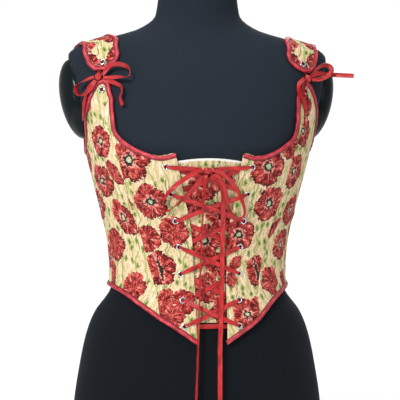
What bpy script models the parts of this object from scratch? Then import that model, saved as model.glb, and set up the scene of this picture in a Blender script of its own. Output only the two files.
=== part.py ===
"""Corset vest of tapestry cloth, laced over a placket, on a dress form without limbs.

Metres, +Z up. The origin is the centre of the form's flat foot and the front faces -Y.
Left is -X, as the vest is seen from the front. The tables below are in millimetres and degrees:
a bearing is the angle round the figure from the centre front, and a height is above the foot.
"""

import math
from collections import namedtuple

import bmesh
import bpy
from mathutils import Matrix, Vector

MM = 0.001

# Cloth, ribbon and eyelets, in mm
WALL = 1.8
EASE_LACED = 4.2
EASE_BODY = 3.1
EASE_STRAP = 1.7
SEAM_GAP = 0.3
PLACKET_WALL = 1.0
PLACKET_EASE = 0.8
BINDING_WIDTH = 5.2
BINDING_WALL = 0.8
BINDING_SLACK = 0.65
RIBBON_WIDTH = 6.2
RIBBON_WALL = 0.6
RIBBON_IN_EYELET = 3.0
EYELET_HOLE_RADIUS = 2.5
EYELET_BARREL_RADIUS = 2.85
EYELET_FLANGE_RADIUS = 4.3
EYELET_FLANGE_TOP = 0.95
CLEAR = 0.3

# Grid and ring counts
FORM_SIDES = 24
WAIST_RINGS = (184, 211, 239, 267)
STEPS_PER_ROW = 2
CENTRE_COLUMNS = 4
SIDE_COLUMNS = 6
BACK_COLUMNS = 6
PLACKET_COLUMNS = 5
PLACKET_ROWS = 12
EYELET_SIDES = 8

LEFT = -1
RIGHT = 1
SIDES = {"left": LEFT, "right": RIGHT}

# The figure: level sections from the foot to the neck's top
Section = namedtuple("Section", "height half_width front back roundness")
FIGURE = (
    Section(0, 174, 100, 120, 2.2),
    Section(45, 171.5, 101, 123, 2.2),
    Section(100, 163, 101, 118, 2.2),
    Section(142, 153.5, 99, 108, 2.2),
    Section(170, 142, 95, 99, 2.15),
    Section(198, 122, 88, 90, 2.1),
    Section(225, 118, 84, 86, 2.1),
    Section(253, 119.5, 84.5, 86.5, 2.1),
    Section(281, 123.7, 89, 90, 2.1),
    Section(309, 130.5, 97, 95, 2.15),
    Section(336, 137, 106, 100, 2.2),
    Section(364, 144.5, 114, 104, 2.25),
    Section(392, 151, 117, 106, 2.3),
    Section(420, 159, 112, 110, 2.3),
    Section(450, 171, 102, 111, 2.3),
    Section(480, 180, 90, 107, 2.3),
    Section(505, 184, 77, 99, 2.3),
    Section(519, 182, 69, 92, 2.3),
    Section(531, 172, 62, 85, 2.3),
    Section(538, 154, 57, 79, 2.3),
    Section(545, 130, 53, 73, 2.3),
    Section(552, 104, 50, 67, 2.2),
    Section(559, 83, 48, 62, 2.1),
    Section(573, 62, 48, 54, 2.05),
    Section(587, 57, 50, 50, 2.0),
    Section(612, 54, 53, 46, 2.0),
)
NECK_TOP = 618
NECK_TOP_SHARE = 0.86

# The front pattern from the hem up: front edge, princess seam and outer edge of each row. The outer edge
# is the side seam, then the armhole, then the strap's outer side. Rise lifts the middle of a row.
FrontRow = namedtuple("FrontRow", "edge edge_height seam seam_height side side_height rise")
FRONT = (
    FrontRow(11.5, 129.5, 36.5, 160, 92.0, 205, 10.8),
    FrontRow(12.3, 165, 41.0, 192, 92.0, 224, 7),
    FrontRow(13.5, 196, 45.5, 216, 92.0, 243, 4),
    FrontRow(14.8, 228, 49.5, 241, 92.0, 263, 2),
    FrontRow(15.4, 262, 52.0, 271, 92.0, 287, 0),
    FrontRow(16.5, 296, 54.0, 301, 92.0, 313, 0),
    FrontRow(18.5, 330, 55.0, 330, 92.0, 339, 0),
    FrontRow(19.8, 360, 54.6, 352, 92.0, 362, 0),
    FrontRow(21.5, 384, 54.8, 366, 92.0, 377, 0),
    FrontRow(31.0, 380.5, 55.3, 380, 92.0, 391.5, 0),
    FrontRow(41.5, 388, 56.6, 394, 85.0, 396.5, 0),
    FrontRow(50.0, 399.5, 58.6, 407, 79.5, 409.5, 0),
    FrontRow(55.4, 413.5, 60.6, 421, 76.0, 428, 0),
    FrontRow(57.0, 434, 62.0, 438, 73.0, 443, 0),
    FrontRow(58.0, 448, 61.6, 449.5, 71.3, 454, 0),
    FrontRow(58.7, 459, 59.9, 460, 70.0, 463, 0),
    FrontRow(60.4, 471, 60.8, 471.5, 68.7, 471, 0),
    FrontRow(62.0, 479, 62.3, 479, 67.8, 477, 0),
    FrontRow(64.4, 483, 64.5, 483, 66.7, 481.8, 0),
)
FRONT_CORNER = 8
UNDERARM = 9
SEAM_END = 15

# The back pattern from the hem up and over the shoulder to the round end of its strap
BackRow = namedtuple("BackRow", "centre centre_height side side_height")
BACK = (
    BackRow(180, 192, 92.0, 205),
    BackRow(180, 225, 92.0, 235),
    BackRow(180, 262, 92.0, 266),
    BackRow(180, 300, 92.0, 300),
    BackRow(180, 338, 92.0, 334),
    BackRow(180, 372, 92.0, 364),
    BackRow(180, 405, 92.0, 391.5),
    BackRow(167, 407, 99.0, 396.5),
    BackRow(153, 416, 104.5, 412),
    BackRow(142, 434, 108.0, 438),
    BackRow(134, 460, 110.0, 466),
    BackRow(127.5, 488, 109.5, 492),
    BackRow(121.5, 512, 107.5, 511),
    BackRow(115, 530, 103.0, 525),
    BackRow(104, 541, 97.0, 532.5),
    BackRow(90, 546.5, 89.0, 535.5),
    BackRow(73, 541.5, 80.5, 531.5),
    BackRow(65.5, 526, 77.0, 521.5),
    BackRow(62.6, 512, 74.4, 511.5),
    BackRow(63.6, 503, 72.2, 503),
    BackRow(66.0, 497, 69.4, 496.9),
)
BACK_CORNER = 6
UNDERARM_GAP = 0.4
CENTRE_BACK_GAP = 0.008

# Eyelets: one row down each front edge, and one in each strap end
Eyelet = namedtuple("Eyelet", "bearing height")
LACE_EYELETS = (
    Eyelet(27.6, 367.5),
    Eyelet(27.2, 332),
    Eyelet(27.0, 296),
    Eyelet(26.3, 260),
    Eyelet(25.4, 223),
    Eyelet(22.9, 186.5),
    Eyelet(20.6, 153),
)
STRAP_EYELET = Eyelet(64.3, 470.5)
TAB_EYELET = Eyelet(67.8, 507.5)

# The lacing is worn a little off the centre front, more so towards the hem
LEAN = 3.1
LEAN_TOP = 384
LEAN_FULL = 230
LEAN_KEPT_TO = 30
LEAN_GONE_AT = 52

PLACKET_HALF_BEARING = 24
PLACKET_BOTTOM = 158
PLACKET_TOP = 373
PLACKET_TOP_RISE = 5

# Ribbon routes: x and height as seen from the front, the lift before the cloth's face, and the ribbon's
# tilt from lying flat (0) to standing on its edge (90)
Stop = namedtuple("Stop", "x height lift tilt")
FRONT_KNOT = Stop(-3.5, 361.5, 4.6, 0)
FRONT_KNOT_SIZE = (6.5, 4.6, 2.9)
FRONT_LOOPS = {
    "left": (
        Stop(-10.5, 362.5, 5.2, 5), Stop(-24, 357, 7.5, 12), Stop(-40, 346, 7.5, 20),
        Stop(-54, 333, 6.2, 40), Stop(-60.5, 320, 6.0, 75), Stop(-59.5, 310, 6.0, 90),
        Stop(-53, 308.5, 6.0, 90), Stop(-44, 315, 6.0, 60), Stop(-33, 326, 5.5, 30),
        Stop(-20, 340, 6.0, 10), Stop(-10.5, 353.5, 5.0, 0),
    ),
    "right": (
        Stop(3.6, 362, 5.4, 5), Stop(13, 359, 7.0, 12), Stop(28, 347, 8.0, 20), Stop(40, 331, 7.5, 40),
        Stop(48, 314, 6.4, 75), Stop(49.5, 303, 6.0, 90), Stop(45.5, 298.5, 6.0, 90),
        Stop(38.5, 299.5, 6.0, 85), Stop(30, 306, 5.8, 50), Stop(24.5, 319, 6.4, 25), Stop(20, 336, 7.2, 10),
        Stop(14, 349, 7.2, 5), Stop(5.2, 356.5, 5.8, 0),
    ),
}
FRONT_TAILS = {
    "left": (
        Stop(-6.0, 355.6, 3.6, 20), Stop(-6.8, 344, 5.4, 55), Stop(-7.7, 309, 6.0, 72),
        Stop(-7.8, 273, 6.0, 75), Stop(-9.0, 231, 6.0, 75), Stop(-10.4, 203.5, 6.0, 75),
        Stop(-13.7, 152, 6.0, 75), Stop(-14.8, 123, 5.8, 75), Stop(-16.2, 84.5, 5.0, 75),
        Stop(-17.0, 56.6, 4.5, 75), Stop(-17.5, 14, 4.5, 75),
    ),
    "right": (
        Stop(1.2, 355.0, 3.2, 0), Stop(9.0, 350.5, 3.4, 0), Stop(15.5, 343, 3.5, 0),
        Stop(18.8, 326.5, 3.6, 0),
        Stop(20.2, 300, 3.6, 5), Stop(20.8, 255, 3.6, 10), Stop(20.5, 222, 3.6, 5), Stop(17.9, 185, 3.6, 0),
        Stop(16.3, 148, 3.6, 0), Stop(15.2, 122.6, 3.4, 5), Stop(15.1, 56, 3.0, 5), Stop(15.1, 14, 3.0, 5),
    ),
}
SHOULDER_KNOTS = {"left": Stop(-144.0, 488.5, 4.2, 0), "right": Stop(143.0, 488.5, 4.2, 0)}
SHOULDER_KNOT_SIZE = (5.4, 4.8, 3.0)
TAB_TIE_RISES = (5.3, 3.4, 2.4)
STRAP_TIE_RISES = (-2.2, -1.0, -0.6)
SHOULDER_RIBBONS = {
    "left": {
        "loop_in": (
            Stop(-138.6, 490.5, 4.6, 20), Stop(-131, 501, 9, 30), Stop(-121, 505, 10, 40),
            Stop(-109, 502.5, 10, 60), Stop(-102.5, 495, 9, 88), Stop(-106, 487.5, 9, 70),
            Stop(-121, 487, 8, 30), Stop(-137.7, 486.8, 4.9, 10),
        ),
        "loop_out": (
            Stop(-149.6, 488.2, 4.6, 20), Stop(-159, 484.5, 9, 40), Stop(-168.5, 480, 11, 70),
            Stop(-173.5, 472.5, 11, 90), Stop(-170, 464.5, 10, 80), Stop(-163, 464.5, 10, 60),
            Stop(-155, 472, 9, 40), Stop(-147.8, 483.4, 5.7, 10),
        ),
        "tail_in": (
            Stop(-138.2, 485.0, 3.4, 10), Stop(-128, 481.5, 4.2, 20), Stop(-116, 475.5, 4.0, 50),
            Stop(-114.0, 468, 4.6, 60), Stop(-116.5, 460, 4.2, 45), Stop(-113.6, 449, 3.8, 30),
        ),
        "tail_out": (
            Stop(-149.2, 483.6, 2.6, 20), Stop(-157.5, 471.5, 3.4, 10), Stop(-161.8, 455, 4.6, 5),
            Stop(-163.4, 441, 5.0, 5), Stop(-163.6, 430, 5.4, 5),
        ),
    },
    "right": {
        "loop_out": (
            Stop(148.3, 490.6, 4.8, 20), Stop(157, 502, 11, 30), Stop(168, 508, 13, 40),
            Stop(177, 506.5, 14, 70), Stop(179.5, 500, 14, 90), Stop(172, 492, 13, 60),
            Stop(160, 488, 10, 30), Stop(149.0, 486.8, 5.0, 10),
        ),
        "loop_in": (
            Stop(137.4, 487.8, 4.6, 20), Stop(129.5, 481.5, 7.6, 45), Stop(126.5, 472.5, 8.6, 80),
            Stop(129, 463.5, 8.2, 90), Stop(135.5, 460.5, 8.2, 70), Stop(139.5, 468.5, 8.4, 50),
            Stop(141.2, 483.0, 6.4, 20),
        ),
        "tail_out": (
            Stop(147.4, 492.6, 2.4, 20), Stop(160, 496.0, 3.8, 10), Stop(176, 495.6, 6.0, 5),
            Stop(194, 494.6, 9.0, 0), Stop(211, 493.8, 11.0, 0),
        ),
        "tail_in": (
            Stop(137.2, 482.4, 4.0, 10), Stop(134.5, 472, 3.6, 10), Stop(134.5, 461, 3.6, 10),
            Stop(139.2, 445.2, 3.4, 5),
        ),
    },
}
STEPS_PER_STOP = 2
TAIL_STEPS_PER_STOP = 2

# Armhole caps: domes on flat cuts that lean outwards towards the shoulder
CAP_LOW_X = 153
CAP_LOW_HEIGHT = 400
CAP_LEAN = math.atan2(25, 120)
CAP_CENTRE_HEIGHT = 462
CAP_HALF_DEPTH = 39
CAP_HALF_HEIGHT = 56
CAP_DOME = 24
CAP_SET_BACK = 4

COLLECTION = "corset_vest"
CUTTERS = "cutters"


def cleared_collections():
    """Empties the scene and returns the collection of the object and that of its cutters."""
    for obj in list(bpy.data.objects):
        bpy.data.objects.remove(obj)
    made = []
    for name in (COLLECTION, CUTTERS):
        collection = bpy.data.collections.new(name)
        bpy.context.scene.collection.children.link(collection)
        made.append(collection)
    return made


def material(name, colour, roughness, metallic=0.0):
    made = bpy.data.materials.new(name)
    made.use_nodes = True
    shader = made.node_tree.nodes["Principled BSDF"]
    shader.inputs["Base Color"].default_value = (*colour, 1.0)
    shader.inputs["Roughness"].default_value = roughness
    shader.inputs["Metallic"].default_value = metallic
    made.diffuse_color = (*colour, 1.0)
    return made


def spline(values, at, corner=None):
    """A smooth curve through values set one unit apart, with a sharp corner at one of them if asked."""
    first = min(max(int(at), 0), len(values) - 2)
    share = at - first
    low, high = values[first], values[first + 1]
    slope_low = high - low
    slope_high = high - low
    if first > 0 and first != corner:
        slope_low = (high - values[first - 1]) / 2
    if first + 2 < len(values) and first + 1 != corner:
        slope_high = (values[first + 2] - low) / 2
    square, cube = share * share, share * share * share
    return (
        (2 * cube - 3 * square + 1) * low
        + (cube - 2 * square + share) * slope_low
        + (3 * square - 2 * cube) * high
        + (cube - square) * slope_high
    )


def section(height):
    """The figure's level section at a height, read smoothly from its table."""
    rows = FIGURE
    height = min(max(height, rows[0].height), rows[-1].height)
    index = next(i for i in range(len(rows) - 1) if height <= rows[i + 1].height)
    low, high = rows[index], rows[index + 1]
    gap = high.height - low.height
    share = (height - low.height) / gap
    square, cube = share * share, share * share * share

    def slope(at, column):
        before, after = max(at - 1, 0), min(at + 1, len(rows) - 1)
        rise = getattr(rows[after], column) - getattr(rows[before], column)
        return rise / (rows[after].height - rows[before].height)

    def read(column):
        return (
            (2 * cube - 3 * square + 1) * getattr(low, column)
            + (cube - 2 * square + share) * gap * slope(index, column)
            + (3 * square - 2 * cube) * getattr(high, column)
            + (cube - square) * gap * slope(index + 1, column)
        )

    return Section(height, *(read(column) for column in Section._fields[1:]))


def skin(bearing, height):
    """The point of the form's surface at a bearing and a height, in mm."""
    at = section(height)
    sine, cosine = math.sin(math.radians(bearing)), math.cos(math.radians(bearing))
    depth = at.front if cosine > 0 else at.back
    level = (abs(sine) / at.half_width) ** at.roundness + (abs(cosine) / depth) ** at.roundness
    reach = level ** (-1 / at.roundness)
    return Vector((reach * sine, -reach * cosine, height))


def outward(bearing, height):
    """The outward normal of the form's surface."""
    round_step, up_step = 0.5, 1.0
    across = skin(bearing + round_step, height) - skin(bearing - round_step, height)
    up = skin(bearing, height + up_step) - skin(bearing, height - up_step)
    return across.cross(up).normalized()


def eased(share):
    share = min(max(share, 0.0), 1.0)
    return share * share * (3 - 2 * share)


def ease(bearing, height):
    """How far the cloth's inner face stands off the form: most under the lacing, least at the straps."""
    turned = abs((bearing + 180) % 360 - 180)
    laced = EASE_BODY + (EASE_LACED - EASE_BODY) * eased((50 - turned) / 18)
    return laced + (EASE_STRAP - laced) * eased((height - 420) / 60)


def on_cloth(bearing, height, lift=0.0):
    """A point before (or, below zero, behind) the cloth's outer face, in mm."""
    out = ease(bearing, height) + WALL + lift
    return skin(bearing, height) + outward(bearing, height) * out


def lean(bearing, height):
    """The turn of the laced front at a bearing from its centre, in degrees."""
    down = eased((LEAN_TOP - height) / (LEAN_TOP - LEAN_FULL))
    kept = (LEAN_GONE_AT - bearing) / (LEAN_GONE_AT - LEAN_KEPT_TO)
    return LEAN * down * min(max(kept, 0.0), 1.0)


def worn(side, bearing, height):
    """A pattern bearing of one half as a bearing on the figure."""
    return side * bearing + lean(bearing, height)


def before_cloth(stop):
    """A route's stop as (point, normal): its lift is measured straight forward from the cloth's face."""
    at = section(stop.height)
    across = min(abs(stop.x) / at.half_width, 0.95)
    depth = at.front * (1 - across ** at.roundness) ** (1 / at.roundness)
    bearing = math.degrees(math.atan2(math.copysign(across * at.half_width, stop.x), depth))
    normal = outward(bearing, stop.height)
    thickness = (ease(bearing, stop.height) + WALL) / max(-normal.y, 0.5)
    return Vector((stop.x, -depth - thickness - stop.lift, stop.height)), normal


def new_object(name, bm, finish, collection):
    """Puts a bmesh whose coordinates are in mm into a new object."""
    bmesh.ops.scale(bm, vec=(MM, MM, MM), verts=bm.verts)
    mesh = bpy.data.meshes.new(name)
    bm.to_mesh(mesh)
    bm.free()
    mesh.materials.append(finish)
    obj = bpy.data.objects.new(name, mesh)
    collection.objects.link(obj)
    return obj


def loft(name, rings, finish, collection):
    """Joins rings of equal counts, one after the other, and closes both ends."""
    bm = bmesh.new()
    loops = [[bm.verts.new(point) for point in ring] for ring in rings]
    count = len(loops[0])
    for low, high in zip(loops, loops[1:]):
        for i in range(count):
            after = (i + 1) % count
            bm.faces.new((low[i], low[after], high[after], high[i]))
    bm.faces.new(loops[0])
    bm.faces.new(loops[-1])
    bmesh.ops.recalc_face_normals(bm, faces=bm.faces)
    return new_object(name, bm, finish, collection)


def cloth_grid(name, columns, rows, place, wall, finish, collection):
    """A grid placed on the figure by place(across, up), each from 0 to 1, thickened outwards."""
    bm = bmesh.new()
    bmesh.ops.create_grid(bm, x_segments=columns, y_segments=rows, size=0.5)
    for vert in bm.verts:
        vert.co = place(vert.co.x + 0.5, vert.co.y + 0.5)
    bm.normal_update()
    middle = bm.faces[:][len(bm.faces) // 2]
    centre = middle.calc_center_median()
    if middle.normal.dot(Vector((centre.x, centre.y, 0))) < 0:
        bmesh.ops.reverse_faces(bm, faces=bm.faces)
    obj = new_object(name, bm, finish, collection)
    solidify = obj.modifiers.new("wall", "SOLIDIFY")
    solidify.thickness = wall * MM
    solidify.offset = 1.0
    return obj


def cut(obj, cutter):
    boolean = obj.modifiers.new("cut", "BOOLEAN")
    boolean.operation = "DIFFERENCE"
    boolean.solver = "EXACT"
    boolean.object = cutter


def as_cutter(obj):
    obj.hide_render = True
    obj.display_type = "WIRE"
    return obj


def facing(normal):
    """A rotation that turns +Z to a normal."""
    return normal.to_track_quat("Z", "Y").to_matrix().to_4x4()


def hole_cutter(name, places, finish, cutters):
    """Short rods through the cloth at each eyelet's place."""
    bm = bmesh.new()
    radius = EYELET_BARREL_RADIUS + CLEAR + 0.1
    for bearing, height in places:
        centre = on_cloth(bearing, height, -WALL / 2)
        turn = Matrix.Translation(centre) @ facing(outward(bearing, height))
        bmesh.ops.create_cone(
            bm, cap_ends=True, segments=EYELET_SIDES, radius1=radius, radius2=radius, depth=8, matrix=turn
        )
    return as_cutter(new_object(name, bm, finish, cutters))


def make_form(finish, parts, cutters):
    """The dress form: one closed torso, flat at the foot, cut flat at both armholes."""
    heights = sorted([row.height for row in FIGURE] + list(WAIST_RINGS))
    rings = [[skin(360 * i / FORM_SIDES, height) for i in range(FORM_SIDES)] for height in heights]
    top = [Vector((p.x * NECK_TOP_SHARE, p.y * NECK_TOP_SHARE, NECK_TOP)) for p in rings[-1]]
    form = loft("form_torso", rings + [top], finish, parts)
    for name, side in SIDES.items():
        bm = bmesh.new()
        bmesh.ops.create_cube(bm, size=200)
        for vert in bm.verts:
            vert.co.x += 100
        bmesh.ops.transform(bm, matrix=cap_place(side, 0, CAP_CENTRE_HEIGHT), verts=bm.verts)
        bmesh.ops.recalc_face_normals(bm, faces=bm.faces)
        cut(form, as_cutter(new_object(f"armhole_cutter_{name}", bm, finish, cutters)))
    return form


def cap_place(side, out, height):
    """The frame of an armhole's flat cut: +X along its outward normal, +Z up the cut."""
    x = CAP_LOW_X + (height - CAP_LOW_HEIGHT) * math.tan(CAP_LEAN)
    leaned = Matrix.Rotation(CAP_LEAN, 4, "Y")
    turned = Matrix.Diagonal((side, 1, 1, 1)) if side == LEFT else Matrix.Identity(4)
    return turned @ Matrix.Translation((x, CAP_SET_BACK, height)) @ leaned @ Matrix.Translation((out, 0, 0))


def make_arm_cap(name, side, finish, parts):
    bm = bmesh.new()
    bmesh.ops.create_uvsphere(bm, u_segments=20, v_segments=10, radius=1)
    bmesh.ops.rotate(bm, verts=bm.verts, matrix=Matrix.Rotation(math.pi / 2, 3, "Y"))
    bmesh.ops.scale(bm, vec=(CAP_DOME, CAP_HALF_DEPTH, CAP_HALF_HEIGHT), verts=bm.verts)
    geometry = bm.verts[:] + bm.edges[:] + bm.faces[:]
    bmesh.ops.bisect_plane(bm, geom=geometry, plane_co=(0, 0, 0), plane_no=(1, 0, 0), clear_inner=True)
    rim = [edge for edge in bm.edges if edge.is_boundary]
    bmesh.ops.edgeloop_fill(bm, edges=rim)
    bmesh.ops.transform(bm, matrix=cap_place(side, CLEAR, CAP_CENTRE_HEIGHT), verts=bm.verts)
    bmesh.ops.recalc_face_normals(bm, faces=bm.faces)
    return new_object(f"form_arm_cap_{name}", bm, finish, parts)


def front_line(column, at):
    """A column of the front pattern, as (bearing, height), at a row number."""
    corner = {"edge": FRONT_CORNER, "side": UNDERARM}.get(column)
    bearing = spline([getattr(row, column) for row in FRONT], at, corner)
    height = spline([getattr(row, column + "_height") for row in FRONT], at, corner)
    return bearing, height


def back_line(column, at):
    """A column of the back pattern, as (bearing, height), at a row number."""
    bearing = spline([getattr(row, column) for row in BACK], at, BACK_CORNER)
    height = spline([getattr(row, column + "_height") for row in BACK], at, BACK_CORNER)
    return bearing, height


def seam_shift(bearing, height):
    """Half a seam's gap as an angle at this place."""
    reach = skin(bearing, height).to_2d().length
    return math.degrees(SEAM_GAP / 2 / reach)


def front_place(first, second, side, across, at):
    """A place of a front panel, as (bearing, height): across from one column of the pattern to another."""
    bearing_a, height_a = front_line(first, at)
    bearing_b, height_b = front_line(second, at)
    if first == "seam" and at <= SEAM_END:
        bearing_a += seam_shift(bearing_a, height_a)
    bearing_b -= seam_shift(bearing_b, height_b)
    bearing = bearing_a + (bearing_b - bearing_a) * across
    rise = spline([row.rise for row in FRONT], at) if first == "seam" else 0
    height = height_a + (height_b - height_a) * across + rise * 4 * across * (1 - across)
    return worn(side, bearing, height), height


def back_place(side, across, at):
    """A place of a back panel, as (bearing, height): across from the centre back to the side seam."""
    bearing_a, height_a = back_line("centre", at)
    bearing_b, height_b = back_line("side", at)
    if at <= BACK_CORNER:
        bearing_a -= seam_shift(bearing_a, height_a)
        bearing_b += seam_shift(bearing_b, height_b)
    bearing = bearing_a + (bearing_b - bearing_a) * across
    return side * bearing, height_a + (height_b - height_a) * eased(across)


def make_fronts(name, side, finish, parts, cutters):
    """Centre front and side front of one half, with their eyelet holes."""

    def centre(across, up):
        return on_cloth(*front_place("edge", "seam", side, across, up * SEAM_END), -WALL)

    def outer(across, up):
        return on_cloth(*front_place("seam", "side", side, across, up * (len(FRONT) - 1)), -WALL)

    centre_rows = STEPS_PER_ROW * SEAM_END
    panel = cloth_grid(f"centre_front_{name}", CENTRE_COLUMNS, centre_rows, centre, WALL, finish, parts)
    places = [(worn(side, eyelet.bearing, eyelet.height), eyelet.height) for eyelet in LACE_EYELETS]
    cut(panel, hole_cutter(f"lace_hole_cutter_{name}", places, finish, cutters))
    side_rows = STEPS_PER_ROW * (len(FRONT) - 1)
    panel = cloth_grid(f"side_front_{name}", SIDE_COLUMNS, side_rows, outer, WALL, finish, parts)
    places = [(side * STRAP_EYELET.bearing, STRAP_EYELET.height)]
    cut(panel, hole_cutter(f"strap_hole_cutter_{name}", places, finish, cutters))


def make_back(name, side, finish, parts, cutters):
    def place(across, up):
        return on_cloth(*back_place(side, across, up * (len(BACK) - 1)), -WALL)

    rows = STEPS_PER_ROW * (len(BACK) - 1)
    panel = cloth_grid(f"back_{name}", BACK_COLUMNS, rows, place, WALL, finish, parts)
    places = [(side * TAB_EYELET.bearing, TAB_EYELET.height)]
    cut(panel, hole_cutter(f"tab_hole_cutter_{name}", places, finish, cutters))


def make_placket(finish, parts):
    """The panel behind the lacing, on the form."""

    def place(across, up):
        bearing = (2 * across - 1) * PLACKET_HALF_BEARING
        top = PLACKET_TOP + PLACKET_TOP_RISE * (1 - (2 * across - 1) ** 2)
        height = PLACKET_BOTTOM + (top - PLACKET_BOTTOM) * up
        turned = bearing + lean(0, height)
        return skin(turned, height) + outward(turned, height) * PLACKET_EASE

    return cloth_grid("placket", PLACKET_COLUMNS, PLACKET_ROWS, place, PLACKET_WALL, finish, parts)


def moved_on_cloth(bearing, height, offset):
    """The (bearing, height) reached from a place by moving an offset along the cloth."""
    turn_step, up_step = 0.2, 0.5
    here = on_cloth(bearing, height)
    turn = (on_cloth(bearing + turn_step, height) - here) / turn_step
    up = (on_cloth(bearing, height + up_step) - here) / up_step
    both, turn_square, up_square = turn.dot(up), turn.length_squared, up.length_squared
    scale = turn_square * up_square - both * both
    turned = (offset.dot(turn) * up_square - offset.dot(up) * both) / scale
    raised = (offset.dot(up) * turn_square - offset.dot(turn) * both) / scale
    return bearing + turned, height + raised


def binding_ring(before, here, after, side):
    """The section of a binding at a cloth edge: over the outer face, round the edge and down past it."""
    normal = outward(*here)
    along = (on_cloth(*after) - on_cloth(*before)).normalized()
    away = along.cross(normal).normalized() * -side
    edge = on_cloth(*here)
    top = CLEAR + BINDING_WALL
    inner = moved_on_cloth(*here, away * -BINDING_WIDTH)
    round_edge = ((top, top), (top, -WALL), (CLEAR, -WALL), (CLEAR, CLEAR))
    ring = [on_cloth(*inner, CLEAR + BINDING_SLACK), on_cloth(*inner, top + BINDING_SLACK)]
    return ring + [edge + away * out + normal * lift for out, lift in round_edge]


def make_binding(name, path, side, finish, parts):
    """A binding along a path of (bearing, height), with the cloth on its left hand on the right half."""
    rings = []
    for i, here in enumerate(path):
        rings.append(binding_ring(path[max(i - 1, 0)], here, path[min(i + 1, len(path) - 1)], side))
    return loft(name, rings, finish, parts)


def steps(first, last, per_row=STEPS_PER_ROW):
    """Row numbers from first to last, both included."""
    count = round(abs(last - first) * per_row)
    return [first + (last - first) * i / count for i in range(count + 1)]


def make_bindings(name, side, finish, parts):
    last = len(FRONT) - 1
    neck = [front_line("edge", at) for at in steps(FRONT_CORNER, SEAM_END)]
    strap = [front_line("seam", at) for at in steps(SEAM_END + 1, last)]
    armhole = [front_line("side", at) for at in steps(last, UNDERARM)]
    armhole[-1] = (armhole[-1][0] - UNDERARM_GAP, armhole[-1][1])
    path = [(worn(side, *place), place[1]) for place in neck + strap + armhole]
    make_binding(f"binding_front_{name}", path, side, finish, parts)

    last = len(BACK) - 1
    armhole = [back_line("side", at) for at in steps(BACK_CORNER, last)]
    armhole[0] = (armhole[0][0] + UNDERARM_GAP, armhole[0][1])
    neck = [back_line("centre", at) for at in steps(last, BACK_CORNER)]
    neck[-1] = (neck[-1][0] - seam_shift(*neck[-1]), neck[-1][1])
    path = [(side * bearing, height) for bearing, height in armhole + neck]
    make_binding(f"binding_back_{name}", path, side, finish, parts)

    path = [back_place(side, max(across, CENTRE_BACK_GAP), 0) for across in steps(0, 1, BACK_COLUMNS)]
    path += [front_place("seam", "side", side, across, 0) for across in steps(1, 0, SIDE_COLUMNS)]
    path += [front_place("edge", "seam", side, across, 0) for across in steps(1, 0, CENTRE_COLUMNS)[1:]]
    make_binding(f"binding_hem_{name}", path, side, finish, parts)


def eyelet_mesh(finish):
    """A flanged ring turned from its profile, standing on the cloth with its barrel through it."""
    profile = (
        (EYELET_HOLE_RADIUS, -WALL), (EYELET_BARREL_RADIUS, -WALL), (EYELET_BARREL_RADIUS, CLEAR),
        (EYELET_FLANGE_RADIUS, CLEAR), (EYELET_HOLE_RADIUS, EYELET_FLANGE_TOP),
    )
    bm = bmesh.new()
    verts = [bm.verts.new((radius * MM, 0, lift * MM)) for radius, lift in profile]
    edges = [bm.edges.new((verts[i - 1], verts[i])) for i in range(len(verts))]
    bmesh.ops.spin(
        bm, geom=verts + edges, cent=(0, 0, 0), axis=(0, 0, 1), angle=math.tau, steps=EYELET_SIDES,
        use_merge=True,
    )
    bmesh.ops.recalc_face_normals(bm, faces=bm.faces)
    mesh = bpy.data.meshes.new("eyelet")
    bm.to_mesh(mesh)
    bm.free()
    mesh.materials.append(finish)
    return mesh


def make_eyelets(finish, parts):
    mesh = eyelet_mesh(finish)
    places = []
    for name, side in SIDES.items():
        for row, eyelet in enumerate(LACE_EYELETS, 1):
            places.append((f"eyelet_{name}_{row}", worn(side, *eyelet), eyelet.height))
        places.append((f"eyelet_strap_{name}", side * STRAP_EYELET.bearing, STRAP_EYELET.height))
        places.append((f"eyelet_tab_{name}", side * TAB_EYELET.bearing, TAB_EYELET.height))
    for name, bearing, height in places:
        obj = bpy.data.objects.new(name, mesh)
        centre = Matrix.Translation(on_cloth(bearing, height) * MM)
        obj.matrix_world = centre @ facing(outward(bearing, height))
        parts.objects.link(obj)


def ribbon(name, course, finish, parts):
    """A flat ribbon along a course of (point, across, width), with its thickness at right angles to both."""
    rings = []
    for i, (point, across, width) in enumerate(course):
        along = course[min(i + 1, len(course) - 1)][0] - course[max(i - 1, 0)][0]
        across = (across - along * (across.dot(along) / along.length_squared)).normalized() * (width / 2)
        thick = across.cross(along).normalized() * (RIBBON_WALL / 2)
        top, bottom = point + thick, point - thick
        rings.append([top + across, top - across, bottom - across, bottom + across])
    return loft(name, rings, finish, parts)


def tilted(normal, along, tilt):
    """The way across a ribbon that is turned about its length from lying flat towards standing on edge."""
    flat = normal.cross(along).normalized()
    return flat * math.cos(math.radians(tilt)) + normal * math.sin(math.radians(tilt))


def free_course(stops, per_stop):
    """The course of a bow's loop or tail through its stops."""
    placed = []
    for at in steps(0, len(stops) - 1, per_stop):
        stop = Stop(*(spline([getattr(row, field) for row in stops], at) for field in Stop._fields))
        placed.append((*before_cloth(stop), stop.tilt))
    course = []
    for i, (point, normal, tilt) in enumerate(placed):
        along = placed[min(i + 1, len(placed) - 1)][0] - placed[max(i - 1, 0)][0]
        course.append((point, tilted(normal, along, tilt), RIBBON_WIDTH))
    return course


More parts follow.
